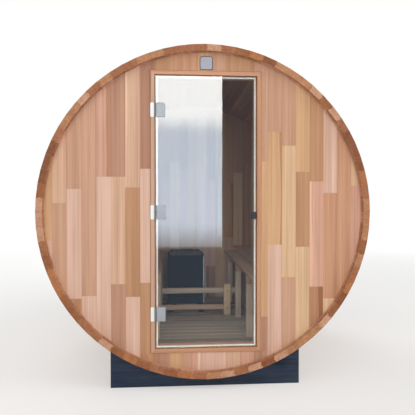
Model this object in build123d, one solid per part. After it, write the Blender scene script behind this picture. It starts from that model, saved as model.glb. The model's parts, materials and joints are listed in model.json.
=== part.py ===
from build123d import *
import os
from math import cos, floor, radians, sin, sqrt

os.makedirs("parts", exist_ok=True)

# Barrel sauna in millimetres. The origin is on the ground under the middle of the barrel,
# +Z is up, the barrel's axis runs along Y, and the door is in the end at -Y.

# Barrel shell: flat-faced staves, each with a bead on one edge and a cove on the other
barrel_outer_radius = 1000.0
barrel_length = 1800.0
stave_count = 72
stave_thickness = 40.0
stave_gap = 0.3
bead_width = 20.0
bead_depth = 6.0
segment_count = 8

# End walls: discs held in a groove, the croze, cut round the inside of the staves
wall_thickness = 40.0
wall_recess = 45.0
croze_depth = 8.0
seat_gap = 0.3

# Door frame, seal and glass, with the frame standing door_margin inside the lining at its middle
door_margin = 109.0
glass_width = 608.0
glass_thickness = 8.0
glass_gap = 6.0
lip_width = 25.0
stop_overlap = 13.5
frame_proud = 6.0
frame_depth = 60.0
seal_thickness = 5.0
seal_clearance = 0.5
seal_joint = 0.5

# Door hinges, with the pin fixed in the two outer knuckles of the leaf on the frame
hinge_height = 85.0
hinge_inset = 206.0
leaf_thickness = 4.0
clamp_thickness = 5.0
clamp_width = 54.0
clamp_edge_inset = 4.0
back_plate_thickness = 4.0
back_plate_clearance = 6.0
knuckle_radius = 6.0
knuckle_lift = 0.5
knuckle_end_gap = 1.0
knuckle_middle_height = 29.0
knuckle_side_gap = 1.5
pin_radius = 3.0
pin_clearance = 0.1
plate_corner = 2.5

# Catch on the glass and its keeper on the frame
catch_width = 31.0
catch_height = 42.0
catch_thickness = 6.0
catch_drop = 20.0
catch_corner = 4.0

# Bare plaque over the door
plaque_width = 78.0
plaque_thickness = 3.0
plaque_corner = 14.0
plaque_gap = 7.0
plaque_headroom = 19.0

# Duckboard floor, with its top floor_rise over the lowest stave
floor_rise = 109.0
floor_slat_thickness = 22.0
floor_slat_width = 75.0
floor_slat_gap = 10.0
floor_bearer_width = 45.0
floor_bearer_spacing = 300.0
floor_end_gap = 5.0

# Benches along both sides
bench_front = 290.0
bench_height = 450.0
bench_slat_width = 85.0
bench_slat_gap = 10.0
bench_slat_thickness = 28.0
bench_back_gap = 6.0
bench_bearer_height = 60.0
bench_leg_width = 43.0
bench_leg_inset = 265.0
bench_leg_count = 3
bench_side_gap = 5.0

# Heater with its stone tray, and the low guard in front of it
heater_width = 302.0
heater_depth = 300.0
heater_height = 400.0
heater_x = -93.0
heater_back_gap = 331.0
heater_foot_height = 70.0
heater_foot_width = 40.0
heater_foot_inset = 4.0
heater_corner = 8.0
tray_wall = 12.0
tray_depth = 60.0
stones_rise = 35.0
guard_left = -355.0
guard_right = 263.0
guard_clearance = 64.0
guard_post_width = 54.0
guard_post_depth = 40.0
guard_height = 247.0
guard_rail_thickness = 20.0
guard_top_rail_height = 43.0
guard_top_rail_reach = 65.0
guard_low_rail_height = 41.0
guard_top_rail_drop = 35.0
guard_low_rail_lift = 35.0

# Cradles that carry the barrel
cradle_width = 1154.0
cradle_web = 60.0
cradle_thickness = 60.0
cradle_inset = 60.0

# Steel bands round the staves, each drawn tight by a bolt through two lugs
band_width = 32.0
band_thickness = 1.5
band_seat = 0.3
band_end_distance = 360.0
band_lug_angle = 135.0
lug_height = 26.0
lug_thickness = 5.0
lug_opening = 40.0
bolt_radius = 4.0
bolt_hole_clearance = 0.3
bolt_head_radius = 7.5
bolt_head_height = 5.0
bolt_reach = 9.0

# Values worked out from the sizes above
stave_angle = 360.0 / stave_count
half_angle = radians(stave_angle / 2)
outer_apothem = barrel_outer_radius * cos(half_angle)
inner_apothem = outer_apothem - stave_thickness
inner_corner_radius = inner_apothem / cos(half_angle)
lining_radius = inner_apothem - seat_gap
croze_radius = inner_corner_radius + croze_depth
wall_radius = croze_radius - seat_gap
axis_height = cradle_web + barrel_outer_radius + seat_gap
half_length = barrel_length / 2
wall_front = -half_length + wall_recess
wall_back = wall_front + wall_thickness
room_end = -wall_back

frame_front = wall_front - frame_proud
glass_back = frame_front + glass_thickness
stop_front = glass_back + seal_clearance + seal_thickness
frame_back = frame_front + frame_depth
glass_half_width = glass_width / 2
lip_half_width = glass_half_width + glass_gap
frame_half_width = lip_half_width + lip_width
frame_half_height = lining_radius - door_margin
lip_half_height = frame_half_height - lip_width
glass_half_height = lip_half_height - glass_gap
stop_half_width = glass_half_width - stop_overlap
stop_half_height = glass_half_height - stop_overlap

hinge_axis_x = -glass_half_width - glass_gap / 2
hinge_axis_y = frame_front - knuckle_radius - knuckle_lift
hinge_pitch = glass_half_height - hinge_inset
hinge_heights = {"top": hinge_pitch, "middle": 0.0, "bottom": -hinge_pitch}

floor_top = -inner_apothem + floor_rise
floor_under = floor_top - floor_slat_thickness
bench_top = floor_top + bench_height
bench_under = bench_top - bench_slat_thickness
heater_front = room_end - heater_back_gap - heater_depth
guard_front = heater_front - guard_clearance - guard_post_depth


def block(x0, x1, y0, y1, z0, z1):
    # Box between two opposite corners, with Z counted from the barrel's axis
    return Pos((x0 + x1) / 2, (y0 + y1) / 2, (z0 + z1) / 2) * Box(x1 - x0, y1 - y0, z1 - z0)


def disc(radius, y0, y1):
    # Round plate across the barrel's axis
    return Pos(0, (y0 + y1) / 2, 0) * Rot(X=90) * Cylinder(radius, y1 - y0)


def front_prism(points, y0, y1):
    # Prism with an outline given as (x, z) points
    outline = make_face(Polyline(*points, close=True))
    return Pos(0, y1, 0) * extrude(Plane.XZ * outline, y1 - y0)


def save(name, *solids):
    # Lift the pieces from the barrel's axis to their height over the ground and write the node
    placed = [Pos(0, 0, axis_height) * solid for whole in solids for solid in whole.solids()]
    export_step(Compound(children=placed), f"parts/{name}.step")


def stave_edge_point(side, radius, shift):
    # Point on the joint ray to the right (1) or left (-1) of the top stave, moved clockwise by shift
    turn = side * half_angle
    return (radius * sin(turn) + shift * cos(turn), radius * cos(turn) - shift * sin(turn))


def make_stave():
    # The top stave: bead on its clockwise edge, cove on the other, and the two croze grooves
    joint_middle = (barrel_outer_radius + inner_corner_radius) / 2
    bead_top = joint_middle + bead_width / 2
    bead_foot = joint_middle - bead_width / 2
    half_gap = stave_gap / 2
    outer_right = stave_edge_point(1, barrel_outer_radius, -half_gap)
    bead_start = stave_edge_point(1, bead_top, -half_gap)
    bead_crown = stave_edge_point(1, joint_middle, bead_depth - half_gap)
    bead_end = stave_edge_point(1, bead_foot, -half_gap)
    inner_right = stave_edge_point(1, inner_corner_radius, -half_gap)
    inner_left = stave_edge_point(-1, inner_corner_radius, half_gap)
    cove_start = stave_edge_point(-1, bead_foot, half_gap)
    cove_floor = stave_edge_point(-1, joint_middle, bead_depth + half_gap)
    cove_end = stave_edge_point(-1, bead_top, half_gap)
    outer_left = stave_edge_point(-1, barrel_outer_radius, half_gap)
    edges = [
        Line(outer_left, outer_right),
        Line(outer_right, bead_start),
        ThreePointArc(bead_start, bead_crown, bead_end),
        Line(bead_end, inner_right),
        Line(inner_right, inner_left),
        Line(inner_left, cove_start),
        ThreePointArc(cove_start, cove_floor, cove_end),
        Line(cove_end, outer_left),
    ]
    profile = make_face(edges)
    stave = extrude(Plane.XZ * profile, half_length, both=True)
    for sign in (-1, 1):
        near, far = sorted((sign * (wall_front - seat_gap), sign * (wall_back + seat_gap)))
        stave -= disc(croze_radius, near, far)
    return stave


def make_shell():
    # Staves in their order round the barrel, clockwise from the top joint as seen from the door
    stave = make_stave()
    per_segment = stave_count // segment_count
    for segment in range(segment_count):
        first = segment * per_segment
        last = stave_count if segment == segment_count - 1 else first + per_segment
        turned = [Rot(Y=(index + 0.5) * stave_angle) * stave for index in range(first, last)]
        save(f"staves_{segment + 1:02d}", *turned)


def make_end_walls():
    # The front wall in four pieces round the door frame, and the whole rear wall
    front = disc(wall_radius, wall_front, wall_back)
    reach = barrel_outer_radius
    pieces = {
        "front_wall_left": (-reach, -frame_half_width, -reach, reach),
        "front_wall_right": (frame_half_width, reach, -reach, reach),
        "front_wall_head": (-frame_half_width, frame_half_width, frame_half_height, reach),
        "front_wall_sill": (-frame_half_width, frame_half_width, -reach, -frame_half_height),
    }
    for name, (x0, x1, z0, z1) in pieces.items():
        save(name, front & block(x0, x1, wall_front, wall_back, z0, z1))
    save("rear_wall", disc(wall_radius, -wall_back, -wall_front))


def make_door_frame():
    # Rebated frame: a lip round the glass and a stop behind it, mitred at the corners
    ring = block(-frame_half_width, frame_half_width, frame_front, frame_back,
                 -frame_half_height, frame_half_height)
    ring -= block(-lip_half_width, lip_half_width, frame_front, stop_front,
                  -lip_half_height, lip_half_height)
    ring -= block(-stop_half_width, stop_half_width, stop_front, frame_back,
                  -stop_half_height, stop_half_height)
    wide, tall = frame_half_width, frame_half_height
    mitre = frame_half_width - stop_half_width
    sides = {
        "door_jamb_left": [(-wide, -tall), (-wide, tall), (-wide + mitre, tall - mitre),
                           (-wide + mitre, -tall + mitre)],
        "door_jamb_right": [(wide, -tall), (wide, tall), (wide - mitre, tall - mitre),
                            (wide - mitre, -tall + mitre)],
        "door_frame_head": [(-wide, tall), (wide, tall), (wide - mitre, tall - mitre),
                            (-wide + mitre, tall - mitre)],
        "door_frame_sill": [(-wide, -tall), (wide, -tall), (wide - mitre, -tall + mitre),
                            (-wide + mitre, -tall + mitre)],
    }
    for name, outline in sides.items():
        save(name, ring & front_prism(outline, frame_front, frame_back))


def make_seal():
    # Seal strips on the stop, with the right one broken at the keeper
    edge_x, edge_z = glass_half_width, glass_half_height
    seal_front = stop_front - seal_thickness
    keeper_top = -catch_drop + catch_height / 2
    keeper_foot = -catch_drop - catch_height / 2
    inner_z = stop_half_height - seal_joint
    strips = [
        block(-edge_x, edge_x, seal_front, stop_front, stop_half_height, edge_z),
        block(-edge_x, edge_x, seal_front, stop_front, -edge_z, -stop_half_height),
        block(-edge_x, -stop_half_width, seal_front, stop_front, -inner_z, inner_z),
        block(stop_half_width, edge_x, seal_front, stop_front, keeper_top + seal_joint, inner_z),
        block(stop_half_width, edge_x, seal_front, stop_front, -inner_z, keeper_foot - seal_joint),
    ]
    save("door_seal", *strips)
    save("catch_keeper", block(stop_half_width, edge_x, seal_front, stop_front, keeper_foot, keeper_top))


def make_glass_and_catch():
    # The glass leaf and the catch on its free edge
    save("door_glass", block(-glass_half_width, glass_half_width, frame_front, glass_back,
                             -glass_half_height, glass_half_height))
    left, right = glass_half_width - catch_width, glass_half_width
    top, foot = catch_height / 2 - catch_drop, -catch_height / 2 - catch_drop
    outline = [(left, foot + catch_corner), (left, top - catch_corner), (left + catch_corner, top),
               (right, top), (right, foot), (left + catch_corner, foot)]
    save("door_catch", front_prism(outline, frame_front - catch_thickness, frame_front))


def hinge_plate(x0, x1, y0, y1, z0, z1):
    # Flat hinge plate with its four corners cut off
    plate = block(x0, x1, y0, y1, z0, z1)
    return chamfer(plate.edges().filter_by(Axis.Y), plate_corner)


def make_hinges():
    # Three hinges: a leaf on the frame with the outer knuckles and pin, a clamp on the glass
    half = hinge_height / 2
    middle = knuckle_middle_height / 2
    outer = half - middle - knuckle_end_gap
    outer_centre = half - outer / 2
    leaf_face = frame_front - leaf_thickness
    clamp_face = frame_front - clamp_thickness
    clamp_left = -glass_half_width + clamp_edge_inset
    clamp_right = clamp_left + clamp_width
    back_left = -stop_half_width + back_plate_clearance
    swept = knuckle_radius + knuckle_side_gap
    axis = Pos(hinge_axis_x, hinge_axis_y, 0)
    leaf = hinge_plate(-frame_half_width, hinge_axis_x, leaf_face, frame_front, -half, half)
    leaf -= block(hinge_axis_x - swept, hinge_axis_x, leaf_face, frame_front,
                  -middle - knuckle_end_gap, middle + knuckle_end_gap)
    for side in (-1, 1):
        leaf += axis * Pos(0, 0, side * outer_centre) * Cylinder(knuckle_radius, outer)
    leaf += axis * Cylinder(pin_radius, hinge_height)
    clamp = hinge_plate(clamp_left, clamp_right, clamp_face, frame_front, -half, half)
    clamp += block(hinge_axis_x, clamp_left + plate_corner, clamp_face, frame_front, -middle, middle)
    clamp += axis * Cylinder(knuckle_radius, knuckle_middle_height)
    clamp -= axis * Cylinder(pin_radius + pin_clearance, hinge_height)
    back = hinge_plate(back_left, clamp_right, glass_back, glass_back + back_plate_thickness, -half, half)
    for place, height in hinge_heights.items():
        save(f"hinge_leaf_{place}", Pos(0, 0, height) * leaf)
        save(f"hinge_clamp_{place}", Pos(0, 0, height) * clamp, Pos(0, 0, height) * back)


def make_plaque():
    # Bare metal plaque with cut upper corners on the wall over the door
    half = plaque_width / 2
    foot = frame_half_height + plaque_gap
    top = sqrt(lining_radius ** 2 - half ** 2) - plaque_headroom
    outline = [(-half, foot), (half, foot), (half, top - plaque_corner), (half - plaque_corner, top),
               (-half + plaque_corner, top), (-half, top - plaque_corner)]
    save("plaque", front_prism(outline, wall_front - plaque_thickness, wall_front))


def make_floor():
    # Duckboard slats across the barrel on three bearers, both cut to the round of the staves
    start = wall_back + floor_end_gap
    end = room_end - floor_end_gap
    pitch = floor_slat_width + floor_slat_gap
    count = floor((end - start + floor_slat_gap) / pitch)
    offset = -(count - 1) * pitch / 2
    reach = lining_radius
    blank = block(-reach, reach, -floor_slat_width / 2, floor_slat_width / 2, floor_under, floor_top)
    slat = blank & disc(lining_radius, -floor_slat_width, floor_slat_width)
    save("floor_slats", *[Pos(0, offset + index * pitch, 0) * slat for index in range(count)])
    half = floor_bearer_width / 2
    bearers = []
    for place in (-floor_bearer_spacing, 0, floor_bearer_spacing):
        bearer = block(place - half, place + half, start, end, -reach, floor_under)
        bearers.append(bearer & disc(lining_radius, start, end))
    save("floor_bearers", *bearers)


def make_benches():
    # A slatted bench on each side: slats along the barrel, bearers to the shell, legs on the floor
    start = frame_back + bench_side_gap
    end = room_end - bench_side_gap
    pitch = bench_slat_width + bench_slat_gap
    bearer_foot = bench_under - bench_bearer_height
    half_leg = bench_leg_width / 2
    back = sqrt(lining_radius ** 2 - bench_under ** 2) - bench_back_gap
    slat_count = floor((back - bench_front + bench_slat_gap) / pitch)
    first_leg = wall_back + bench_leg_inset
    leg_spacing = -2 * first_leg / (bench_leg_count - 1)
    slats = []
    for index in range(slat_count):
        left = bench_front + index * pitch
        slats.append(block(left, left + bench_slat_width, start, end, bench_under, bench_top))
    bearers = []
    legs = []
    for index in range(bench_leg_count):
        place = first_leg + index * leg_spacing
        near, far = place - half_leg, place + half_leg
        bearer = block(bench_front, lining_radius, near, far, bearer_foot, bench_under)
        bearers.append(bearer & disc(lining_radius, near, far))
        legs.append(block(bench_front, bench_front + bench_leg_width, near, far, floor_top, bearer_foot))
    save("bench_right_slats", *slats)
    save("bench_left_slats", *[mirror(piece, about=Plane.YZ) for piece in slats])
    save("bench_bearers", *bearers, *[mirror(piece, about=Plane.YZ) for piece in bearers])
    save("bench_legs", *legs, *[mirror(piece, about=Plane.YZ) for piece in legs])


def make_heater():
    # Heater housing on four feet, with an open tray of stones at the top
    left = heater_x - heater_width / 2
    right = heater_x + heater_width / 2
    back = heater_front + heater_depth
    foot = floor_top + heater_foot_height
    top = foot + heater_height
    body = block(left, right, heater_front, back, foot, top)
    body = fillet(body.edges().filter_by(Axis.Z), heater_corner)
    tray_box = (left + tray_wall, right - tray_wall, heater_front + tray_wall, back - tray_wall)
    body -= block(*tray_box, top - tray_depth, top)
    for x0 in (left + heater_foot_inset, right - heater_foot_inset - heater_foot_width):
        for y0 in (heater_front + heater_foot_inset, back - heater_foot_inset - heater_foot_width):
            body += block(x0, x0 + heater_foot_width, y0, y0 + heater_foot_width, floor_top, foot)
    save("heater", body)
    inset = seat_gap
    x0, x1, y0, y1 = tray_box
    stones = block(x0 + inset, x1 - inset, y0 + inset, y1 - inset, top - tray_depth, top + stones_rise)
    save("heater_stones", chamfer(stones.faces().sort_by(Axis.Z)[-1].edges(), stones_rise))


def make_guard():
    # Low wooden guard before the heater: two posts on the floor and two rails on their back, the upper one
    # running on to under the right bench
    back = guard_front + guard_post_depth
    top = floor_top + guard_height
    posts = [block(x0, x0 + guard_post_width, guard_front, back, floor_top, top)
             for x0 in (guard_left, guard_right - guard_post_width)]
    save("guard_posts", *posts)
    rail_back = back + guard_rail_thickness
    high = top - guard_top_rail_drop
    low = floor_top + guard_low_rail_lift
    rails = [block(guard_left, guard_right + guard_top_rail_reach, back, rail_back,
                   high - guard_top_rail_height, high),
             block(guard_left, guard_right, back, rail_back, low, low + guard_low_rail_height)]
    save("guard_rails", *rails)


def make_cradles():
    # Two planks on edge with the round of the barrel cut into their top
    half = cradle_width / 2
    for name, sign in (("cradle_front", -1), ("cradle_rear", 1)):
        near, far = sorted((sign * (half_length - cradle_inset),
                            sign * (half_length - cradle_inset - cradle_thickness)))
        plank = block(-half, half, near, far, -axis_height, 0)
        save(name, plank - disc(barrel_outer_radius + seat_gap, near, far))


def flat_ring(apothem, half_width):
    # Disc with one flat side for each stave
    outline = RegularPolygon(apothem, stave_count, major_radius=False)
    return extrude(Plane.XZ * outline, half_width, both=True)


def make_bands():
    # Steel band lying on the flats of the staves, its ends turned out as lugs, and the hexagon-headed
    # bolt that draws them together
    inner = outer_apothem + band_seat
    half = band_width / 2
    half_opening = lug_opening / 2
    band = flat_ring(inner + band_thickness, half) - flat_ring(inner, half)
    band -= block(-half_opening, half_opening, -half, half, 0, barrel_outer_radius + lug_height)
    lug_top = inner + lug_height
    bolt_level = inner + lug_height / 2
    lug_face = half_opening + lug_thickness
    for side in (-1, 1):
        near, far = sorted((side * half_opening, side * lug_face))
        band += block(near, far, -half, half, inner, lug_top)
    across = Pos(0, 0, bolt_level) * Rot(Y=90)
    bolt_length = 2 * (lug_face + bolt_reach)
    band -= across * Cylinder(bolt_radius + bolt_hole_clearance, bolt_length)
    bolt = across * Cylinder(bolt_radius, bolt_length)
    head = extrude(RegularPolygon(bolt_head_radius, 6), bolt_head_height / 2, both=True)
    for side in (-1, 1):
        bolt += across * Pos(0, 0, side * (lug_face + bolt_head_height / 2)) * head
    band_place = half_length - band_end_distance
    seats = {name: Pos(0, place, 0) * Rot(Y=band_lug_angle)
             for name, place in (("front", -band_place), ("rear", band_place))}
    for name, seated in seats.items():
        save(f"band_{name}", seated * band)
    save("band_bolts", *[seated * bolt for seated in seats.values()])


make_shell()
make_end_walls()
make_door_frame()
make_seal()
make_glass_and_catch()
make_hinges()
make_plaque()
make_floor()
make_benches()
make_heater()
make_guard()
make_cradles()
make_bands()
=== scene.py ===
import json
import math
import bmesh
import bpy
import numpy as np
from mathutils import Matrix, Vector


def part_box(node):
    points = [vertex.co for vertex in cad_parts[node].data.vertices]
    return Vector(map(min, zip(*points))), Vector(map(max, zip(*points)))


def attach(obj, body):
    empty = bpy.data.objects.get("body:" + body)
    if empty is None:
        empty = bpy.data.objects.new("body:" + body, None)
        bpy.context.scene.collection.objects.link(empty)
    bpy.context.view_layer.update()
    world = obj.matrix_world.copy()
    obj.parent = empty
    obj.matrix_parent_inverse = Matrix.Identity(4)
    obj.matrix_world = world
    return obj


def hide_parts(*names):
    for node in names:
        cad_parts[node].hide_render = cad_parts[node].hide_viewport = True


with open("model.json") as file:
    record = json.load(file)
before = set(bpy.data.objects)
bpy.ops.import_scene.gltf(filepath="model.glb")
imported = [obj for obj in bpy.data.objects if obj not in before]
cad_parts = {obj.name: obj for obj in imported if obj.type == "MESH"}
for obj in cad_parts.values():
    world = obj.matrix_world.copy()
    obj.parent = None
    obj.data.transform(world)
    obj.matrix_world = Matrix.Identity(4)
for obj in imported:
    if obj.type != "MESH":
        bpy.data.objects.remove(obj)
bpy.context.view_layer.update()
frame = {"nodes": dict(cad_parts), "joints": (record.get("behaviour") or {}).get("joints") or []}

# Barrel sauna in metres: Z up from the ground, the barrel's axis along Y, the door in the end at -Y

rearLow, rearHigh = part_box("rear_wall")
axisHeight = (rearLow.z + rearHigh.z) / 2
jambLow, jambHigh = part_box("door_jamb_left")
doorFoot, doorTop = jambLow.z, jambHigh.z
headLow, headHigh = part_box("door_frame_head")
frameWidth = headHigh.x - headLow.x
glassLow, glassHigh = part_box("door_glass")
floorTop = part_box("floor_slats")[1].z
liningRadius = 0.95875      # round inside of the barrel, up to which slats and bearers reach

# Tones as sRGB from 0 to 255, named as a maker would sort the boards
woodTones = {
    "blush": (220, 184, 165),
    "salmon": (211, 165, 143),
    "peach": (213, 175, 148),
    "straw": (216, 181, 146),
    "cream": (224, 190, 154),
    "honey": (208, 167, 127),
    "amber": (190, 145, 110),
    "tan": (200, 158, 131),
    "sand": (206, 168, 137),
    "copper": (201, 152, 122),
    "rose": (188, 145, 121),
    "russet": (175, 129, 106),
    "chestnut": (183, 135, 104),
    "frame": (200, 151, 118),
    "jamb": (202, 163, 139),
    "oat": (204, 180, 156),
    "ash": (174, 154, 142),
    "dun": (140, 120, 110),
}

# The same for the end grain of the staves
endTones = {
    "orange": (178, 119, 76),
    "brown": (154, 100, 64),
    "pale": (200, 154, 126),
    "tawny": (184, 134, 98),
    "reddish": (166, 111, 79),
    "dark": (138, 87, 58),
}

cedar = {
    "heartAcross": (0.05, 0.2),         # how far the tree's heart lies from a board's middle
    "heartThrough": (0.03, 0.09),
    "alongShift": 40,                   # moves each board's pattern, so that no two are alike
    "light": (1.10, 1.10, 1.09, 1),     # times the board's tone
    "dark": (0.74, 0.66, 0.60, 1),
    # Noise: its scale along, across and through the board, its detail and its roughness
    "ringNoise": ((1.1, 9, 9), 2.0, 0.5),
    "fibreNoise": ((16, 620, 620), 2.0, 0.6),
    "sapNoise": ((1.3, 1, 1), 1.0, 0.5),
    # Patches are noise with the values of it that count as 0 and as 1
    "spots": ((40, 75, 75), 3.0, 0.65, 0.44, 0.66),
    # Slower patches, and how much each kind darkens the wood
    "patterns": [
        (((0.9, 34, 34), 3.0, 0.6, 0.32, 0.68), 0.56),          # streaks
        (((1.7, 5, 5), 1.0, 0.5, 0.3, 0.7), 0.22),              # drift from end to end
        (((0.5, 105, 105), 2.0, 0.55, 0.34, 0.66), 0.30),       # fine streaks
    ],
    "ringStep": 0.0034,                 # from one year's ring to the next
    "ringWander": 0.012,
    "ringRange": (-0.2, 1.0),           # part of the sine wave that shows
    "ring": 0.20,                       # how much the rings and the fibres darken the wood
    "fibre": 0.16,
    "shadeRange": (0.22, 1.22),
    "sapReach": (0.12, 0.32),           # share of the width that a stripe of sapwood takes
    "paleShare": 0.6,                   # share of the stripes that are pale, the others are brown
    "sapEdge": 0.004,                   # over which a stripe fades in
    "sapWander": 0.05,
    "brownSap": (0.74, 0.64, 0.54, 1),
    "paleSap": (1.16, 1.22, 1.22, 1),
    "soaked": (0.76, 0.64, 0.55, 1),    # painted shade near a stave's end, times the tone
    "soakFibre": 0.4,                   # how much further the painted shade runs along the fibres
    "soakRange": (0.3, 0.9),
    "spot": (0.72, 0.60, 0.50, 1),      # spots on the cut ends
    "spotShare": 0.6,
    "cutDull": 0.35,                    # how much a cut end counts as darker wood for its gloss
    "dullRange": (0.0, 1.3),
    "dull": (-0.06, 0.12),              # added to the roughness, for the lightest and darkest wood
    "relief": (0.5, 0.8),               # height of the rings and of the fibres
    "raised": (0.3, 0.0004),            # strength and height of the bump
    "gloss": 0.25,
}


def pointsAt(*coordinates):
    # Points from their coordinates, each a number or an array that fits the others
    return np.stack(np.broadcast_arrays(*coordinates), -1)


def linearTone(tone):
    # An sRGB tone made linear: c / 12.92 up to 0.04045, above it ((c + 0.055) / 1.055) ^ 2.4
    share = np.asarray(tone, float) / 255
    return np.where(share <= 0.04045, share / 12.92, ((share + 0.055) / 1.055) ** 2.4)


def paint(tone, share=1.0):
    # A tone as the shader takes it: red, green and blue times share, and 1 for opaque
    return (*(linearTone(tone) * share), 1)


def namedTones(names):
    # The linear tones that a list of names stands for
    return linearTone([woodTones[name] for name in names])


def pickTones(names, count, seed):
    # Tones for a row of boards, drawn at random from names
    draw = np.random.default_rng(seed)
    return namedTones([names[pick] for pick in draw.choice(len(names), count)])


def heartOffsets(count, seed):
    # Where each board lies from its tree's heart, as (along, across, through)
    draw = np.random.default_rng(seed)
    across = draw.uniform(*cedar["heartAcross"], count) * draw.choice([-1, 1], count)
    through = draw.uniform(*cedar["heartThrough"], count) * draw.choice([-1, 1], count)
    along = draw.uniform(-cedar["alongShift"], cedar["alongShift"], count)
    return pointsAt(along, across, through)


def sapStripes(hearts, width, share, seed, chosen=None):
    # Sapwood stripes along one edge of the boards, as (start, side, 0 brown or 1 pale): a stripe
    # starts at heart + side width (0.5 - reach) across the grain, and a side of 0 is a board
    # without one
    draw = np.random.default_rng(seed)
    count = len(hearts)
    side = draw.choice([-1.0, 1.0], count) * (draw.random(count) < share)
    reach = draw.uniform(*cedar["sapReach"], count)
    pale = (draw.random(count) < cedar["paleShare"]).astype(float)
    for board, stripe in (chosen or {}).items():
        side[board], reach[board], pale[board] = stripe
    start = hearts[:, 1] + side * width * (0.5 - reach) + cedar["sapWander"] / 2
    return pointsAt(start, side, pale)


def carried(rings, grain, tones=0.5, ends=None, sap=None, soak=None):
    # Profiles carried along paths: rings[piece, station, corner] holds the points. Quads join each
    # corner to the next corner and the next station, and the first and the last profile close each
    # piece. One weight per station says how much painted shade lies on the wood there, near a
    # stave's end
    count, stations, corners, _ = rings.shape
    index = np.arange(count * stations * corners).reshape(count, stations, corners)
    ahead = np.roll(index, -1, axis=2)
    sides = np.stack([index[:, :-1], ahead[:, :-1], ahead[:, 1:], index[:, 1:]], -1)
    sides = sides.reshape(count, -1, 4)
    caps = np.stack([index[:, 0, ::-1], index[:, -1]], 1)
    tones = np.broadcast_to(tones, (count, 3))
    ends = tones if ends is None else ends
    sap = np.zeros((count, 3)) if sap is None else sap
    soak = np.zeros(stations) if soak is None else soak
    return {
        "points": rings.reshape(-1, 3),
        "grain": grain.reshape(-1, 3),
        "soak": np.broadcast_to(soak[None, :, None], (count, stations, corners)).ravel(),
        "faces": [sides.reshape(-1, 4), caps.reshape(-1, corners)],
        "tone": [np.repeat(tones, sides.shape[1], 0), np.repeat(ends, 2, 0)],
        "cut": [np.zeros(count * sides.shape[1]), np.ones(count * 2)],
        "sap": [np.repeat(sap, sides.shape[1], 0), np.zeros((count * 2, 3))],
    }


def joined(*shapes):
    # Several shapes as one: their points follow each other, and their faces count on from there
    starts = np.cumsum([0] + [len(shape["points"]) for shape in shapes[:-1]])
    whole = {key: np.concatenate([shape[key] for shape in shapes])
             for key in ("points", "grain", "soak")}
    whole["faces"] = [faces + start for shape, start in zip(shapes, starts)
                      for faces in shape["faces"]]
    for key in ("tone", "cut", "sap"):
        whole[key] = [part for shape in shapes for part in shape[key]]
    return whole


def putPiece(name, shape, body, finish, nodes=(), smoothAngle=35):
    # Puts a shape into a mesh, turns its faces outwards, hangs the piece under its body and hides
    # the CAD nodes it stands for
    corners = np.concatenate([faces.ravel() for faces in shape["faces"]]).astype(np.int32)
    sides = np.concatenate([np.full(len(faces), faces.shape[1]) for faces in shape["faces"]])
    starts = np.concatenate([[0], np.cumsum(sides)[:-1]]).astype(np.int32)
    mesh = bpy.data.meshes.new(name)
    mesh.vertices.add(len(shape["points"]))
    mesh.vertices.foreach_set("co", shape["points"].astype(np.float32).ravel())
    mesh.loops.add(len(corners))
    mesh.loops.foreach_set("vertex_index", corners)
    mesh.polygons.add(len(sides))
    mesh.polygons.foreach_set("loop_start", starts)
    mesh.update(calc_edges=True)
    tones = np.concatenate(shape["tone"])
    layers = [
        ("grain", "FLOAT_VECTOR", "POINT", "vector", shape["grain"]),
        ("soak", "FLOAT", "POINT", "value", shape["soak"]),
        ("tone", "FLOAT_COLOR", "FACE", "color", np.column_stack([tones, np.ones(len(tones))])),
        ("cut", "FLOAT", "FACE", "value", np.concatenate(shape["cut"])),
        ("sap", "FLOAT_VECTOR", "FACE", "vector", np.concatenate(shape["sap"])),
    ]
    for key, kind, domain, field, values in layers:
        layer = mesh.attributes.new(key, kind, domain)
        layer.data.foreach_set(field, values.astype(np.float32).ravel())
    work = bmesh.new()
    work.from_mesh(mesh)
    bmesh.ops.recalc_face_normals(work, faces=work.faces)
    work.to_mesh(mesh)
    work.free()
    mesh.polygons.foreach_set("use_smooth", np.ones(len(sides), bool))
    mesh.set_sharp_from_angle(angle=math.radians(smoothAngle))
    mesh.materials.append(finishes[finish])
    piece = bpy.data.objects.new(name, mesh)
    bpy.context.scene.collection.objects.link(piece)
    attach(piece, body)
    if nodes:
        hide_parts(*nodes)
    print(name, len(mesh.polygons), "faces")


def giveFinish(nodes, finish):
    # CAD solids that stay as they are get a finish
    for name in nodes:
        materials = frame["nodes"][name].data.materials
        materials.clear()
        materials.append(finishes[finish])


def drawnIn(outline, step):
    # A counterclockwise outline moved inwards: each corner goes by step (a + b) / (1 + a.b), with a
    # and b the inward normals of the sides that meet there; at a very sharp one 1 + a.b stays 0.2
    edge = np.roll(outline, -1, axis=-2) - outline
    edge = edge / np.maximum(np.linalg.norm(edge, axis=-1, keepdims=True), 1e-12)
    after = pointsAt(-edge[..., 1], edge[..., 0])
    before = np.roll(after, 1, axis=-2)
    opening = 1 + np.sum(before * after, -1, keepdims=True)
    return outline + step * (before + after) / np.maximum(opening, 0.2)


def rectangles(low, high, cut):
    # Counterclockwise rectangles between corners low and high, with their corners cut off by cut
    low, high = np.asarray(low, float), np.asarray(high, float)
    u0, v0, u1, v1 = low[..., 0], low[..., 1], high[..., 0], high[..., 1]
    return np.stack([
        pointsAt(u1, v0 + cut), pointsAt(u1, v1 - cut), pointsAt(u1 - cut, v1),
        pointsAt(u0 + cut, v1), pointsAt(u0, v1 - cut), pointsAt(u0, v0 + cut),
        pointsAt(u0 + cut, v0), pointsAt(u1 - cut, v0)], -2)


def quarterRound(x, y, radius, start, points):
    # A quarter circle about (x, y) from the angle start on: centre + r (cos a, sin a)
    angle = np.linspace(0, math.pi / 2, points) + start
    return pointsAt(x + radius * np.cos(angle), y + radius * np.sin(angle))


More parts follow.
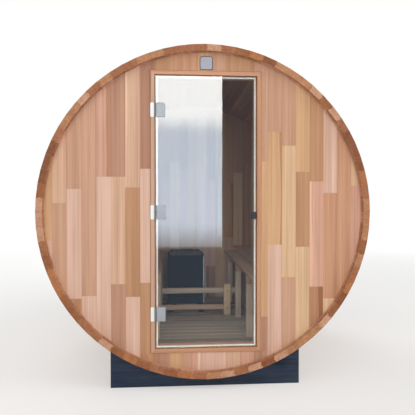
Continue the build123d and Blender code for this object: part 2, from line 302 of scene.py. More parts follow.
def slabs(outlines, low, high, axis, ease, tones=0.5, seed=1):
    # Outlines carried from low to high along an axis, with their rims drawn in by ease at both ends
    outlines = np.asarray(outlines, float)
    if outlines.ndim == 2:
        outlines = outlines[None]
    count = max(len(outlines), np.size(low))
    outlines = np.broadcast_to(outlines, (count,) + outlines.shape[1:])
    low = np.broadcast_to(low, count)
    high = np.broadcast_to(high, count)
    small = drawnIn(outlines, ease)
    rings = np.stack([small, outlines, outlines, small], 1)
    across, through = [side for side in range(3) if side != axis]
    points = np.zeros(rings.shape[:3] + (3,))
    points[..., axis] = np.stack([low, low + ease, high - ease, high], 1)[:, :, None]
    points[..., across] = rings[..., 0]
    points[..., through] = rings[..., 1]
    middle = points.mean(axis=(1, 2), keepdims=True)
    hearts = heartOffsets(count, seed)[:, None, None]
    return carried(points, (points - middle)[..., [axis, across, through]] + hearts, tones)


def planks(low, high, axis, ease, tones=0.5, seed=1):
    # Boards with eased edges between corners low and high, with their grain along an axis
    low = np.atleast_2d(np.asarray(low, float))
    high = np.atleast_2d(np.asarray(high, float))
    others = [side for side in range(3) if side != axis]
    outlines = rectangles(low[:, others], high[:, others], ease)
    return slabs(outlines, low[:, axis], high[:, axis], axis, ease, tones, seed)


def turned(places, direction, profile, sides):
    # Round pieces: each (radius, height) of the profile makes a ring at place + height d + radius
    # (cos a u + sin a v), with u and v square to the direction d
    places = np.atleast_2d(np.asarray(places, float))
    axis = np.asarray(direction, float) / np.linalg.norm(direction)
    first = np.cross(axis, (0.3, 0.5, 0.8))     # with any direction that isn't along d
    first = first / np.linalg.norm(first)
    second = np.cross(axis, first)
    angle = np.arange(sides) * 2 * math.pi / sides
    radius, height = np.asarray(profile, float).T
    around = np.cos(angle)[:, None] * first + np.sin(angle)[:, None] * second
    rings = height[:, None, None] * axis + radius[:, None, None] * around
    points = places[:, None, None] + rings
    return carried(points, points - places[:, None, None])


# Up a low screw head with a sunk middle: share of its radius, and height
headSteps = [(1, 0.0003), (1, -0.0003), (0.8, -0.0009), (0.34, -0.0010), (0.3, -0.0002)]


def screwHead(radius):
    # (radius, height) up a screw head, as turned takes them
    return [(radius * share, height) for share, height in headSteps]


def feed(tree, node, sockets):
    # Gives the sockets of a node their values or links
    for key, value in sockets.items():
        if isinstance(value, bpy.types.NodeSocket):
            tree.links.new(value, node.inputs[key])
        else:
            node.inputs[key].default_value = value


def addNode(tree, kind, sockets, **settings):
    # A node with its settings, and its sockets fed
    made = tree.nodes.new(kind)
    for key, value in settings.items():
        setattr(made, key, value)
    feed(tree, made, sockets)
    return made


def mixTones(tree, factor, first, second, way="MIX"):
    # first and second blended by factor
    return addNode(tree, "ShaderNodeMix", {0: factor, 6: first, 7: second}, data_type="RGBA",
                   blend_type=way).outputs[2]


def tinted(tree, colour, tint, share=1.0):
    # A colour, and as much of the same colour times tint as share says
    return mixTones(tree, share, colour, tint, "MULTIPLY")


def reckon(tree, way, first, second=0.0, third=0.0, hold=False):
    # One step of arithmetic, held between 0 and 1 if hold is set
    return addNode(tree, "ShaderNodeMath", {0: first, 1: second, 2: third}, operation=way,
                   use_clamp=hold).outputs[0]


def spread(tree, value, low, high, toLow=0.0, toHigh=1.0):
    # A value carried from the range low to high over to the range toLow to toHigh, and held there
    return addNode(tree, "ShaderNodeMapRange",
                   {0: value, 1: low, 2: high, 3: toLow, 4: toHigh}).outputs[0]


def noise(tree, vector, scale, detail=2.0, roughness=0.5):
    # Noise over coordinates that are stretched by scale
    stretched = addNode(tree, "ShaderNodeMapping", {"Vector": vector, "Scale": scale}).outputs[0]
    return addNode(tree, "ShaderNodeTexNoise", {"Vector": stretched, "Scale": 1.0, "Detail": detail,
                                                "Roughness": roughness}).outputs["Fac"]


def patches(tree, vector, scale, detail, roughness, low, high):
    # Noise that counts as 0 up to low and as 1 from high on
    return spread(tree, noise(tree, vector, scale, detail, roughness), low, high)


def readMesh(tree, name, output):
    # What the piece's mesh holds under a name
    return addNode(tree, "ShaderNodeAttribute", {}, attribute_name=name).outputs[output]


def placeOn(tree):
    # The place on the object, in metres
    return addNode(tree, "ShaderNodeTexCoord", {}).outputs["Object"]


def startFinish(name):
    # An empty material with its node tree and its shader
    material = bpy.data.materials.new(name)
    material.use_nodes = True
    tree = material.node_tree
    return material, tree, tree.nodes["Principled BSDF"]


def endFinish(tree, shader, colour, roughness, height, raised, gloss=0.5):
    # Joins colour, roughness and a bump to the shader; raised is the bump's strength and height
    bump = addNode(tree, "ShaderNodeBump", {"Height": height, "Strength": raised[0],
                                            "Distance": raised[1]}).outputs[0]
    feed(tree, shader, {"Base Color": colour, "Roughness": roughness, "Normal": bump,
                        "Specular IOR Level": gloss})


def endSurface(tree, surface):
    # Sends what a node gives to the material's surface
    feed(tree, tree.nodes["Material Output"], {"Surface": surface.outputs[0]})


def cedarFinish(name, roughness):
    # Planed cedar: the board's tone times light to dark, by slow patterns along the board, by
    # fibres, and by year rings at sin(2 pi r / step), with r the distance from the tree's heart
    material, tree, shader = startFinish(name)
    grain = readMesh(tree, "grain", "Vector")
    tone = readMesh(tree, "tone", "Color")
    cut = readMesh(tree, "cut", "Fac")
    _, across, through = addNode(tree, "ShaderNodeSeparateXYZ", {0: grain}).outputs
    moved = reckon(tree, "MULTIPLY_ADD", noise(tree, grain, *cedar["ringNoise"]),
                   cedar["ringWander"], across)
    heart = addNode(tree, "ShaderNodeCombineXYZ", {1: moved, 2: through}).outputs[0]
    reach = addNode(tree, "ShaderNodeVectorMath", {0: heart}, operation="LENGTH").outputs["Value"]
    turns = reckon(tree, "MULTIPLY", reach, 2 * math.pi / cedar["ringStep"])
    rings = spread(tree, reckon(tree, "SINE", turns), *cedar["ringRange"])
    fibres = noise(tree, grain, *cedar["fibreNoise"])
    shade = reckon(tree, "MULTIPLY", rings, cedar["ring"])
    shade = reckon(tree, "MULTIPLY_ADD", fibres, cedar["fibre"], shade)
    for waves, weight in cedar["patterns"]:
        shade = reckon(tree, "MULTIPLY_ADD", patches(tree, grain, *waves), weight, shade)
    shade = spread(tree, shade, *cedar["shadeRange"])
    colour = mixTones(tree, shade, tinted(tree, tone, cedar["light"]),
                      tinted(tree, tone, cedar["dark"]))
    # Sapwood beyond the board's mark, with a slow bend in its edge
    start, side, pale = addNode(tree, "ShaderNodeSeparateXYZ",
                                {0: readMesh(tree, "sap", "Vector")}).outputs
    bent = reckon(tree, "MULTIPLY_ADD", noise(tree, grain, *cedar["sapNoise"]),
                  cedar["sapWander"], across)
    beyond = reckon(tree, "MULTIPLY", reckon(tree, "SUBTRACT", bent, start), side)
    tint = mixTones(tree, pale, cedar["brownSap"], cedar["paleSap"])
    colour = tinted(tree, colour, tint, spread(tree, beyond, 0.0, cedar["sapEdge"]))
    # Painted shade on the sides of the staves near their ends, running on further along the fibres
    soak = reckon(tree, "MULTIPLY_ADD", fibres, cedar["soakFibre"], readMesh(tree, "soak", "Fac"))
    soak = spread(tree, soak, *cedar["soakRange"])
    soak = reckon(tree, "MULTIPLY", soak, reckon(tree, "SUBTRACT", 1.0, cut))
    colour = tinted(tree, colour, cedar["soaked"], soak)
    # Spots on the cut ends
    spots = reckon(tree, "MULTIPLY", patches(tree, grain, *cedar["spots"]), cut)
    spots = reckon(tree, "MULTIPLY", spots, cedar["spotShare"])
    colour = tinted(tree, colour, cedar["spot"], spots)
    dull = reckon(tree, "MULTIPLY_ADD", cut, cedar["cutDull"], shade)
    dull = spread(tree, dull, *cedar["dullRange"], *(roughness + more for more in cedar["dull"]))
    ringHeight, fibreHeight = cedar["relief"]
    height = reckon(tree, "MULTIPLY", fibres, fibreHeight)
    height = reckon(tree, "MULTIPLY_ADD", rings, ringHeight, height)
    endFinish(tree, shader, colour, dull, height, cedar["raised"], cedar["gloss"])
    return material


metal = {
    "clouds": ((9, 9, 9), 2.0, 0.5, 0.3, 0.7),
    "cloudShade": 0.82,             # times the tone, where it is darkest
    "brush": (3, 900, 900),         # scale of the brush lines, here along X
    "brushRange": (0.25, 0.75),
    "brushRough": (0.8, 1.25),      # times the roughness
    "raised": (0.08, 0.0002),
}


def metalFinish(name, tone, roughness, brush=metal["brush"]):
    # Metal with clouds in its tone, and with fine brush lines in its roughness and height
    material, tree, shader = startFinish(name)
    place = placeOn(tree)
    clouds = patches(tree, place, *metal["clouds"])
    colour = mixTones(tree, clouds, paint(tone), paint(tone, metal["cloudShade"]))
    lines = noise(tree, place, brush)
    rough = spread(tree, lines, *metal["brushRange"],
                   *(roughness * share for share in metal["brushRough"]))
    endFinish(tree, shader, colour, rough, lines, metal["raised"])
    shader.inputs["Metallic"].default_value = 1.0
    return material


smooth = {
    "clouds": ((14, 14, 14), 3.0, 0.5, 0.3, 0.7),
    "cloudRough": 0.1,              # added to the roughness, where the tone is darkest
    "peelHeight": 0.0003,
}


def smoothFinish(name, tone, roughness, peel=500.0, strength=0.15, shade=0.88, gloss=0.5):
    # Rubber, lacquer or plastic: a tone with clouds down to shade times it, over an orange peel
    material, tree, shader = startFinish(name)
    place = placeOn(tree)
    clouds = patches(tree, place, *smooth["clouds"])
    colour = mixTones(tree, clouds, paint(tone), paint(tone, shade))
    rough = spread(tree, clouds, 0.0, 1.0, roughness, roughness + smooth["cloudRough"])
    height = noise(tree, place, (peel, peel, peel), 1.0)
    endFinish(tree, shader, colour, rough, height, (strength, smooth["peelHeight"]), gloss)
    return material


stain = {
    "deep": (15, 26, 43),
    "thin": (47, 62, 84),
    "worn": (66, 72, 82),
    "wornShare": 0.35,
    "streaks": ((1.6, 42, 42), 4.0, 0.65, 0.35, 0.7),
    "patches": ((5, 9, 9), 2.0, 0.5, 0.35, 0.7),
    "sawnScale": (30, 600, 600),
    "streakHeight": 0.6,
    "roughness": (0.5, 0.72),
    "raised": (0.4, 0.0008),
    "gloss": 0.2,
}


def stainFinish(name, plan):
    # Sawn timber under a blue-black stain: deep to thin by streaks, and worn in patches
    material, tree, shader = startFinish(name)
    grain = readMesh(tree, "grain", "Vector")
    streaks = patches(tree, grain, *plan["streaks"])
    colour = mixTones(tree, streaks, paint(plan["deep"]), paint(plan["thin"]))
    worn = reckon(tree, "MULTIPLY", patches(tree, grain, *plan["patches"]), plan["wornShare"])
    colour = mixTones(tree, worn, colour, paint(plan["worn"]))
    rough = spread(tree, streaks, 0.0, 1.0, *plan["roughness"])
    height = reckon(tree, "MULTIPLY_ADD", streaks, plan["streakHeight"],
                    noise(tree, grain, plan["sawnScale"]))
    endFinish(tree, shader, colour, rough, height, plan["raised"], plan["gloss"])
    return material


split = {
    "dark": (52, 52, 54),
    "mid": (98, 96, 93),
    "speck": (150, 147, 142),
    "speckShare": 0.5,
    "specks": ((420, 420, 420), 2.0, 0.5, 0.55, 0.7),
    "cloudNoise": ((40, 40, 40), 4.0, 0.65),
    "cloudRange": (0.3, 0.7),
    "roughness": 0.85,
    "raised": (0.6, 0.004),
}


def stoneFinish(name, plan):
    # Split stone: dark to mid by clouds, which also raise it, with pale specks
    material, tree, shader = startFinish(name)
    place = placeOn(tree)
    clouds = noise(tree, place, *plan["cloudNoise"])
    specks = reckon(tree, "MULTIPLY", patches(tree, place, *plan["specks"]), plan["speckShare"])
    colour = mixTones(tree, spread(tree, clouds, *plan["cloudRange"]), paint(plan["dark"]),
                      paint(plan["mid"]))
    colour = mixTones(tree, specks, colour, paint(plan["speck"]))
    endFinish(tree, shader, colour, plan["roughness"], clouds, plan["raised"])
    return material


clear = {"tint": (0.93, 0.965, 0.95, 1), "shadow": (0.90, 0.92, 0.91, 1), "bend": 1.5}


def glassFinish(name, plan):
    # Clear toughened glass that lets the light of the lamps through
    material, tree, shader = startFinish(name)
    feed(tree, shader, {"Base Color": plan["tint"], "Transmission Weight": 1.0,
                        "IOR": plan["bend"], "Roughness": 0.0})
    passed = addNode(tree, "ShaderNodeBsdfTransparent", {"Color": plan["shadow"]})
    shadowRay = addNode(tree, "ShaderNodeLightPath", {}).outputs["Is Shadow Ray"]
    endSurface(tree, addNode(tree, "ShaderNodeMixShader", {0: shadowRay, 1: shader.outputs[0],
                                                           2: passed.outputs[0]}))
    return material


# Each finish: the function that makes it, and its values
finishPlans = {
    "staveCedar": (cedarFinish, {"roughness": 0.55}),
    "wallCedar": (cedarFinish, {"roughness": 0.5}),
    "frameCedar": (cedarFinish, {"roughness": 0.45}),
    "floorWood": (cedarFinish, {"roughness": 0.6}),
    "benchWood": (cedarFinish, {"roughness": 0.55}),
    "guardWood": (cedarFinish, {"roughness": 0.55}),
    "navyStain": (stainFinish, {"plan": stain}),
    "clearGlass": (glassFinish, {"plan": clear}),
    "sealRubber": (smoothFinish, {"tone": (244, 241, 236), "roughness": 0.6, "shade": 0.94,
                                  "gloss": 0.2}),
    "whiteLacquer": (smoothFinish, {"tone": (240, 240, 238), "roughness": 0.3, "peel": 300.0,
                                    "strength": 0.05, "shade": 0.95}),
    "satinSteel": (metalFinish, {"tone": (175, 176, 177), "roughness": 0.54}),
    "darkSteel": (metalFinish, {"tone": (74, 72, 74), "roughness": 0.5}),
    # The knuckles' steel is toned darker than the clamps' steel, partly as painted shade for the
    # dark line where leaf and clamp meet
    "barrelSteel": (metalFinish, {"tone": (140, 139, 138), "roughness": 0.45}),
    "catchBlack": (smoothFinish, {"tone": (34, 34, 36), "roughness": 0.45}),
    "plaqueSteel": (metalFinish, {"tone": (150, 148, 154), "roughness": 0.42}),
    "heaterEnamel": (smoothFinish, {"tone": (9, 19, 34), "roughness": 0.6, "peel": 260.0,
                                    "strength": 0.12, "shade": 0.8, "gloss": 0.12}),
    "heaterStone": (stoneFinish, {"plan": split}),
    "bandSteel": (metalFinish, {"tone": (176, 177, 180), "roughness": 0.34,
                                "brush": (600, 4, 600)}),
}
finishes = {name: make(name, **values) for name, (make, values) in finishPlans.items()}
print("finishes made")


shell = {
    "staves": 72,
    "outerRadius": 1.0,
    "innerRadius": 0.96,    # at the joints between the staves
    "halfLength": 0.9,
    "beadWidth": 0.02,
    "beadDepth": 0.006,
    "beadPoints": 9,
    "gap": 0.0003,
    "ease": 0.0012,
    "wallNear": 0.8147,     # the croze, the groove that holds an end wall
    "wallFar": 0.8553,
    "crozeRadius": 0.968,
    "endDrop": 0.002,       # how much shorter than the rest a stave may be
    "calm": 0.45,           # how far the staves' tones are drawn to their mean
    "sapShare": 0.3,
    "soakFull": 0.015,      # how far from the end the painted shade is full, and where it stops
    "soakNone": 0.030,
    "sideTones": ["blush", "salmon", "peach", "honey", "amber", "tan", "rose", "russet",
                  "chestnut"],
    # Share of the staves whose end has each tone
    "endShares": {"orange": 0.12, "brown": 0.18, "pale": 0.18, "tawny": 0.20, "reddish": 0.20,
                  "dark": 0.12},
    "endSeed": 18,
    "seeds": {"heart": 11, "tone": 12, "drop": 13, "sap": 14},
}


def staveProfile(plan):
    # The top stave as (across, out): a point on a joint lies at reach sin(turn) + shift cos(turn)
    # across and reach cos(turn) - shift sin(turn) out, and the bead is an arc of radius
    # (w^2 / 4 + d^2) / 2d
    turn = math.pi / plan["staves"]
    half = plan["gap"] / 2
    ease = plan["ease"]
    outer, inner = plan["outerRadius"], plan["innerRadius"]
    wide, deep = plan["beadWidth"] / 2, plan["beadDepth"]
    bend = (wide ** 2 + deep ** 2) / (2 * deep)
    sweep = math.asin(wide / bend) * np.linspace(1, -1, plan["beadPoints"])
    reach = (outer + inner) / 2 + bend * np.sin(sweep)
    bulge = deep - bend + bend * np.cos(sweep)

    def onJoint(side, out, shift):
        # A point on the joint at a side, out from the axis, and moved square to the joint by shift
        angle = side * turn
        return pointsAt(out * math.sin(angle) + shift * math.cos(angle),
                        out * math.cos(angle) - shift * math.sin(angle))

    def corner(side, out, step):
        # Eased corner: one point along the face and one along the joint
        at = onJoint(side, np.array([out]), -side * half)
        return [at + [[-side * ease, 0]],
                onJoint(side, np.array([out + step * ease]), -side * half)]

    right = corner(1, outer, -1) + [onJoint(1, reach, bulge - half)] + corner(1, inner, 1)[::-1]
    left = (corner(-1, inner, 1) + [onJoint(-1, reach[::-1], bulge[::-1] + half)]
            + corner(-1, outer, -1)[::-1])
    return np.concatenate(right + left)[::-1]


def makeStaves(plan):
    # Every stave is the top one turned by its angle a: x = t cos a + r sin a, z = r cos a - t sin a
    profile = staveProfile(plan)
    count, seeds = plan["staves"], plan["seeds"]
    end, near, far, ease = plan["halfLength"], plan["wallNear"], plan["wallFar"], plan["ease"]
    # Stations from the front end: place along Y, 1 where the profile is drawn in, 1 in the croze,
    # share of painted shade
    half = np.array([
        [-end, 1, 0, 1],
        [-end + ease, 0, 0, 1],
        [-end + plan["soakFull"], 0, 0, 1],
        [-end + plan["soakNone"], 0, 0, 0],
        [-far, 0, 0, 0],
        [-far, 0, 1, 0],
        [-near, 0, 1, 0],
        [-near, 0, 0, 0]])
    stations = np.concatenate([half, half[::-1] * [-1, 1, 1, 1]])
    middle = profile.mean(0)
    small = middle + (profile - middle) * (1 - 2 * ease / np.ptp(profile, axis=0))
    lengths = np.linalg.norm(profile, axis=1, keepdims=True)
    croze = plan["crozeRadius"]
    grooved = np.where(lengths < croze, profile * croze / lengths, profile)
    drawn, dug = stations[:, 1, None, None], stations[:, 2, None, None]
    flat = profile * (1 - drawn - dug) + small * drawn + grooved * dug
    angle = (np.arange(count) + 0.5) * 2 * math.pi / count
    cos, sin = np.cos(angle)[:, None, None], np.sin(angle)[:, None, None]
    across, out = flat[None, ..., 0], flat[None, ..., 1]
    along = np.broadcast_to(stations[None, :, 0, None], (count,) + flat.shape[:2]).copy()
    drop = np.random.default_rng(seeds["drop"]).uniform(0, plan["endDrop"], (2, count, 1, 1))
    along[:, :2] += drop[0]
    along[:, -2:] -= drop[1]
    rings = pointsAt(across * cos + out * sin, along, out * cos - across * sin + axisHeight)
    local = pointsAt(along, across, out - middle[1])
    hearts = heartOffsets(count, seeds["heart"])
    names, shares = list(plan["endShares"]), list(plan["endShares"].values())
    picks = np.random.default_rng(plan["endSeed"]).choice(len(names), count, p=shares)
    ends = linearTone([endTones[names[pick]] for pick in picks])
    tones = pickTones(plan["sideTones"], count, seeds["tone"])
    tones = tones + (tones.mean(0) - tones) * plan["calm"]
    sap = sapStripes(hearts, np.ptp(profile[:, 0]), plan["sapShare"], seeds["sap"])
    return carried(rings, local + hearts[:, None, None], tones, ends, sap, stations[:, 3])


staveNodes = [name for name in frame["nodes"] if name.startswith("staves_")]
putPiece("staves", makeStaves(shell), "cabin", "staveCedar", staveNodes)


wall = {
    "radius": 0.9675,
    "inside": 0.9995,       # the outermost boards end at this share of the radius
    "front": -0.855,
    "back": -0.815,
    "firstSeam": -0.915,
    "pitch": 0.0862,
    "groove": 0.0011,       # cut off each long edge, so that two boards make a V
    "ease": 0.0006,
    "acrossPoints": 6,      # points over a board's face
    "frameGap": 0.002,
    "sapShare": 0.12,
    "mostBoards": 200,      # the random draws for the front are made for this many boards
    "leastHeight": 1e-6,    # a lower span is left out
    # Striped boards, counted from the left and from the top down: side, share of the width, and
    # 0 for brown or 1 for pale
    "sapBoards": {10: (1, 0.35, 0), 15: (-1, 0.14, 1), 49: (1, 0.4, 0)},
    # Each column from the left: tones from the top down, and each butt joint's height over the axis
    "columns": [
        (["honey", "blush"], [-0.167]),
        (["peach", "tan"], [0.056]),
        (["tan", "blush", "amber"], [0.140, -0.514]),
        (["tan", "blush"], [-0.498]),
        (["salmon", "blush"], [0.213]),
        (["rose", "peach", "rose"], [0.213, -0.430]),
        (["peach", "amber", "blush"], [0.148, -0.507]),
        (["russet", "blush", "amber"], [0.261, -0.424]),
        (["amber", "rose"], [0.0]),
        (["amber", "honey"], [0.0]),
        (["copper", "salmon"], [0.0]),
        (["honey", "blush"], [0.0]),
        (["tan", "blush"], [0.0]),
        (["amber", "peach"], [0.0]),
        (["amber", "salmon"], [0.0]),
        (["tan", "honey", "rose"], [0.309, -0.640]),
        (["tan", "honey", "blush"], [0.490, -0.199]),
        (["tan", "straw", "tan"], [0.406, -0.400]),
        (["honey", "amber", "cream"], [0.247, -0.213]),
        (["amber", "salmon", "chestnut"], [0.188, -0.461]),
        (["blush", "copper", "cream"], [0.117, -0.534]),
        (["copper"], []),
        (["straw", "salmon"], [0.162]),
    ],
    "rearTones": ["blush", "salmon", "peach", "straw", "honey", "amber", "tan", "rose", "russet"],
    "rearUpper": (0.25, 0.55),      # the rear's butt joints, as shares of the column's half height
    "rearLower": (0.1, 0.6),
    "rearShort": 0.5,               # a column with less half height than this has one joint
    "frontSeeds": {"heart": 21, "sap": 22},
    "rearSeeds": {"joint": 31, "heart": 32, "sap": 33},
}


def columnEdges(plan, column):
    # Where a column of boards starts and ends across, just inside the round edge of the wall
    edge = plan["radius"] * plan["inside"]
    left = plan["firstSeam"] + plan["pitch"] * (column - 1)
    right = plan["firstSeam"] + plan["pitch"] * column
    return max(left, -edge), min(right, edge)


def boardGrid(spans, plan, hearts):
    # Upright boards of a round wall. A span is left, right, foot and top, and then 1 for each of
    # these edges that is eased: a row of points over the front, with a V edge at each side, and the
    # same row on the back, both carried from foot to top, where z stays within sqrt(R^2 - x^2)
    left, right, foot, top, vLeft, vRight, vFoot, vTop = [
        np.array(column, float)[:, None] for column in zip(*spans)]
    cut, ease, radius = plan["groove"], plan["ease"], plan["radius"]
    share = np.linspace(0, 1, plan["acrossPoints"])[None]
    inner = left + cut * vLeft + (right - cut * vRight - left - cut * vLeft) * share
    across = np.concatenate([left, inner, right], 1)
    sunk = np.concatenate([vLeft * cut, np.zeros_like(inner), vRight * cut], 1)
    across = np.concatenate([across, across[:, ::-1]], 1)
    depth = np.concatenate([plan["front"] + sunk, np.full_like(sunk, plan["back"])], 1)
    faced = np.concatenate([np.ones_like(sunk), np.zeros_like(sunk)], 1)
    levels = np.stack([foot, foot + ease * vFoot, top - ease * vTop, top], 1)
    pulled = np.stack([ease * vFoot, 0 * foot, 0 * top, ease * vTop], 1)
    held = np.sqrt(np.maximum(radius ** 2 - across ** 2, 0))[:, None]
    height = np.clip(levels, -held, held)
    points = pointsAt(across[:, None], depth[:, None] + pulled * faced[:, None],
                      height + axisHeight)
    middle = pointsAt((left + right) / 2, plan["front"], 0)[:, None]
    local = (points - [0, 0, axisHeight]) - middle
    return points, local[..., [2, 0, 1]] + hearts[:, None, None]


def makeFrontBoards(plan):
    # The boards are cut round the door frame: each is up to three spans with one grain, under,
    # beside and over the door, and a span that the door takes up is left out
    halfWide = frameWidth / 2 + plan["frameGap"]
    above = doorTop - axisHeight + plan["frameGap"]
    below = doorFoot - axisHeight - plan["frameGap"]
    spans, names, owners = [], [], []
    board = 0
    for column, (tones, joints) in enumerate(plan["columns"]):
        left, right = columnEdges(plan, column)
        levels = [1.0] + joints + [-1.0]
        for tone, top, foot in zip(tones, levels, levels[1:]):
            board += 1
            for low, high in ((foot, min(top, below)), (max(foot, below), min(top, above)),
                              (max(foot, above), top)):
                beside = low >= below and high <= above
                start, stop = left, right
                if beside and left < -halfWide < right:
                    stop = -halfWide
                elif beside and left < halfWide < right:
                    start = halfWide
                elif beside and -halfWide <= left and right <= halfWide:
                    continue
                if high - low < plan["leastHeight"]:
                    continue
                spans.append((start, stop, low, high, start == left, stop == right, low == foot,
                              high == top))
                names.append(tone)
                owners.append(board)
    seeds = plan["frontSeeds"]
    hearts = heartOffsets(plan["mostBoards"], seeds["heart"])
    points, grain = boardGrid(spans, plan, hearts[owners])
    sap = sapStripes(hearts, plan["pitch"], plan["sapShare"], seeds["sap"], plan["sapBoards"])
    return carried(points, grain, namedTones(names), sap=sap[owners])


def makeRearBoards(plan):
    # The rear wall has the same boards with their joints drawn at random, facing +Y
    seeds = plan["rearSeeds"]
    draw = np.random.default_rng(seeds["joint"])
    spans, names = [], []
    for column in range(len(plan["columns"])):
        left, right = columnEdges(plan, column)
        tall = math.sqrt(max(plan["radius"] ** 2 - (left + right) ** 2 / 4, 0))
        joints = [draw.uniform(*plan["rearUpper"]) * tall, -draw.uniform(*plan["rearLower"]) * tall]
        levels = [1.0] + joints[:2 if tall > plan["rearShort"] else 1] + [-1.0]
        for top, foot in zip(levels, levels[1:]):
            spans.append((left, right, foot, top, 1, 1, 1, 1))
            names.append(plan["rearTones"][draw.integers(len(plan["rearTones"]))])
    hearts = heartOffsets(len(spans), seeds["heart"])
    points, grain = boardGrid(spans, plan, hearts)
    sap = sapStripes(hearts, plan["pitch"], plan["sapShare"], seeds["sap"])
    return carried(points * [1, -1, 1], grain, namedTones(names), sap=sap)


wallNodes = [name for name in frame["nodes"] if name.startswith("front_wall_")]
putPiece("frontBoards", makeFrontBoards(wall), "cabin", "wallCedar", wallNodes)
putPiece("rearBoards", makeRearBoards(wall), "cabin", "wallCedar", ["rear_wall"])


doorFrame = {
    "lip": 0.025,           # face of the frame round the glass
    "stop": 0.0445,         # how far the stop behind the glass reaches in from the outer edge
    "front": -0.861,
    "stopFront": -0.8475,
    "back": -0.801,
    "ease": 0.0016,
    "arris": 0.3,           # share of the ease at which an arris has its middle point
    "groove": 0.006,        # dark groove in the rebate, outside the seal
    "grooveBack": -0.825,
    "tones": ["jamb", "frame", "copper", "frame"],      # left, right, head, sill
    "seed": 41,
}


def mitred(profile):
    # Left, right, upper and lower length of a profile (in from the frame's outer edge, y), mitred
    # at 45 degrees: a point that lies in by p runs from one corner of the rectangle drawn in by p
    # to the next
    inward, depth = profile[:, 0], profile[:, 1]
    x, z = frameWidth / 2 - inward, (doorTop - doorFoot) / 2 - inward
    middle = (doorFoot + doorTop) / 2
    corners = [(-x, -z), (-x, z), (x, z), (x, -z)]
    runs = [(0, 1), (3, 2), (1, 2), (0, 3)]
    return np.stack([[pointsAt(corners[at][0], depth, corners[at][1] + middle) for at in run]
                     for run in runs])


def makeFrame(plan):
    # A rebated profile with eased arrises, mitred round the door
    lip, stop, ease = plan["lip"], plan["stop"], plan["ease"]
    front, rebate, back = plan["front"], plan["stopFront"], plan["back"]
    deep, inner = plan["grooveBack"], plan["lip"] + plan["groove"]
    soft = ease * plan["arris"]
    profile = np.array([
        (0, back), (0, front + ease), (soft, front + soft), (ease, front),
        (lip - ease, front), (lip - soft, front + soft), (lip, front + ease), (lip, deep),
        (inner, deep), (inner, rebate), (stop - ease, rebate), (stop, rebate + ease),
        (stop, back - ease), (stop - ease, back)])
    rings = mitred(profile)
    upright, level = rings[:2][..., [2, 0, 1]], rings[2:][..., [0, 2, 1]]
    hearts = heartOffsets(4, plan["seed"])[:, None, None]
    grain = np.concatenate([upright, level]) - [0, 0, front] + hearts
    return carried(rings, grain, namedTones(plan["tones"]))


seal = {
    "outer": 0.0356,        # in from the frame's outer edge
    "inner": 0.0420,
    "front": -0.8525,
    "depth": 0.005,
    "corner": 0.001,
    "channel": (0.0015, 0.0005, 0.0012),    # half width at its top and at its foot, depth
}


def makeSeal(plan):
    # A strip with a channel between two low ribs, mitred round the glass
    outer, inner, corner = plan["outer"], plan["inner"], plan["corner"]
    front, back = plan["front"], plan["front"] + plan["depth"]
    wide, narrow, sunk = plan["channel"]
    mid = (outer + inner) / 2
    rings = mitred(np.array([
        (outer, back), (outer, front + corner), (outer + corner, front), (mid - wide, front),
        (mid - narrow, front + sunk), (mid + narrow, front + sunk), (mid + wide, front),
        (inner - corner, front), (inner, front + corner), (inner, back)]))
    return carried(rings, rings)


glass = {"corner": 0.002, "ease": 0.0008, "smoothAngle": 20}


def makeGlass(plan):
    # An upright rectangle with its corners cut off, carried through the thickness of the glass
    leaf = rectangles((glassLow.x, glassLow.z), (glassHigh.x, glassHigh.z), plan["corner"])
    return slabs(leaf, glassLow.y, glassHigh.y, 1, plan["ease"])


catch = {
    "corner": 0.004,
    "ease": 0.0012,
    "screwInset": (0.011, 0.012),   # from the left edge, and from the top and the foot
    "screwSides": 16,
    # (radius, height) up a screw head
    "screw": [(0.0034, 0.0004), (0.0034, -0.0004), (0.0028, -0.0009), (0.0013, -0.0010),
              (0.0011, -0.0002)],
}


def makeCatch(plan):
    # A block whose left corners are cut off, with two screws
    low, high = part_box("door_catch")
    cut, (across, up) = plan["corner"], plan["screwInset"]
    outline = [(high.x, low.z), (high.x, high.z), (low.x + cut, high.z), (low.x, high.z - cut),
               (low.x, low.z + cut), (low.x + cut, low.z)]
    places = [(low.x + across, low.y, height) for height in (low.z + up, high.z - up)]
    return joined(slabs(outline, low.y, high.y, 1, plan["ease"]),
                  turned(places, (0, 1, 0), plan["screw"], plan["screwSides"]))


frameNodes = ["door_jamb_left", "door_jamb_right", "door_frame_head", "door_frame_sill"]
putPiece("doorFrame", makeFrame(doorFrame), "cabin", "frameCedar", frameNodes)
putPiece("doorSeal", makeSeal(seal), "cabin", "sealRubber", ["door_seal"])
putPiece("glassLeaf", makeGlass(glass), "door", "clearGlass", ["door_glass"],
         glass["smoothAngle"])
putPiece("catch", makeCatch(catch), "door", "catchBlack", ["door_catch"])
giveFinish(["catch_keeper"], "catchBlack")


hinge = {
    "leafDepth": 0.004,
    "clampDepth": 0.005,
    "backDepth": 0.004,     # the clamp's plate behind the glass
    "corner": 0.0025,
    "ease": 0.0007,
    "knuckle": 0.006,       # radius
    "knuckleEase": 0.0006,
    "knuckleGap": 0.001,
    "knuckleSides": 28,
    "middle": 0.029,        # height of the clamp's knuckle
    "leafLap": 0.0012,      # how far the leaf reaches under its knuckles
    "frontInset": 0.004,    # from the edge of the glass to the clamp's front plate
    "backInset": 0.0195,    # and to the one behind
    "tongueLap": 0.0025,    # the tongue joins the middle knuckle to the front plate
    "tongueCorner": 0.0004,
    "tongueLift": 0.0002,
    "screwRadius": 0.0036,
    "boltRadius": 0.0054,
    "boltInset": 0.019,
    "screwLift": 0.027,     # from the hinge's middle
    "screwSides": 18,
}


def uprightPlate(left, right, middle, half, near, far, corner, ease):
    # A plate from near to far along Y that reaches up and down from its middle by half
    outline = rectangles((left, middle - half), (right, middle + half), corner)
    return slabs(outline, near, far, 1, ease)


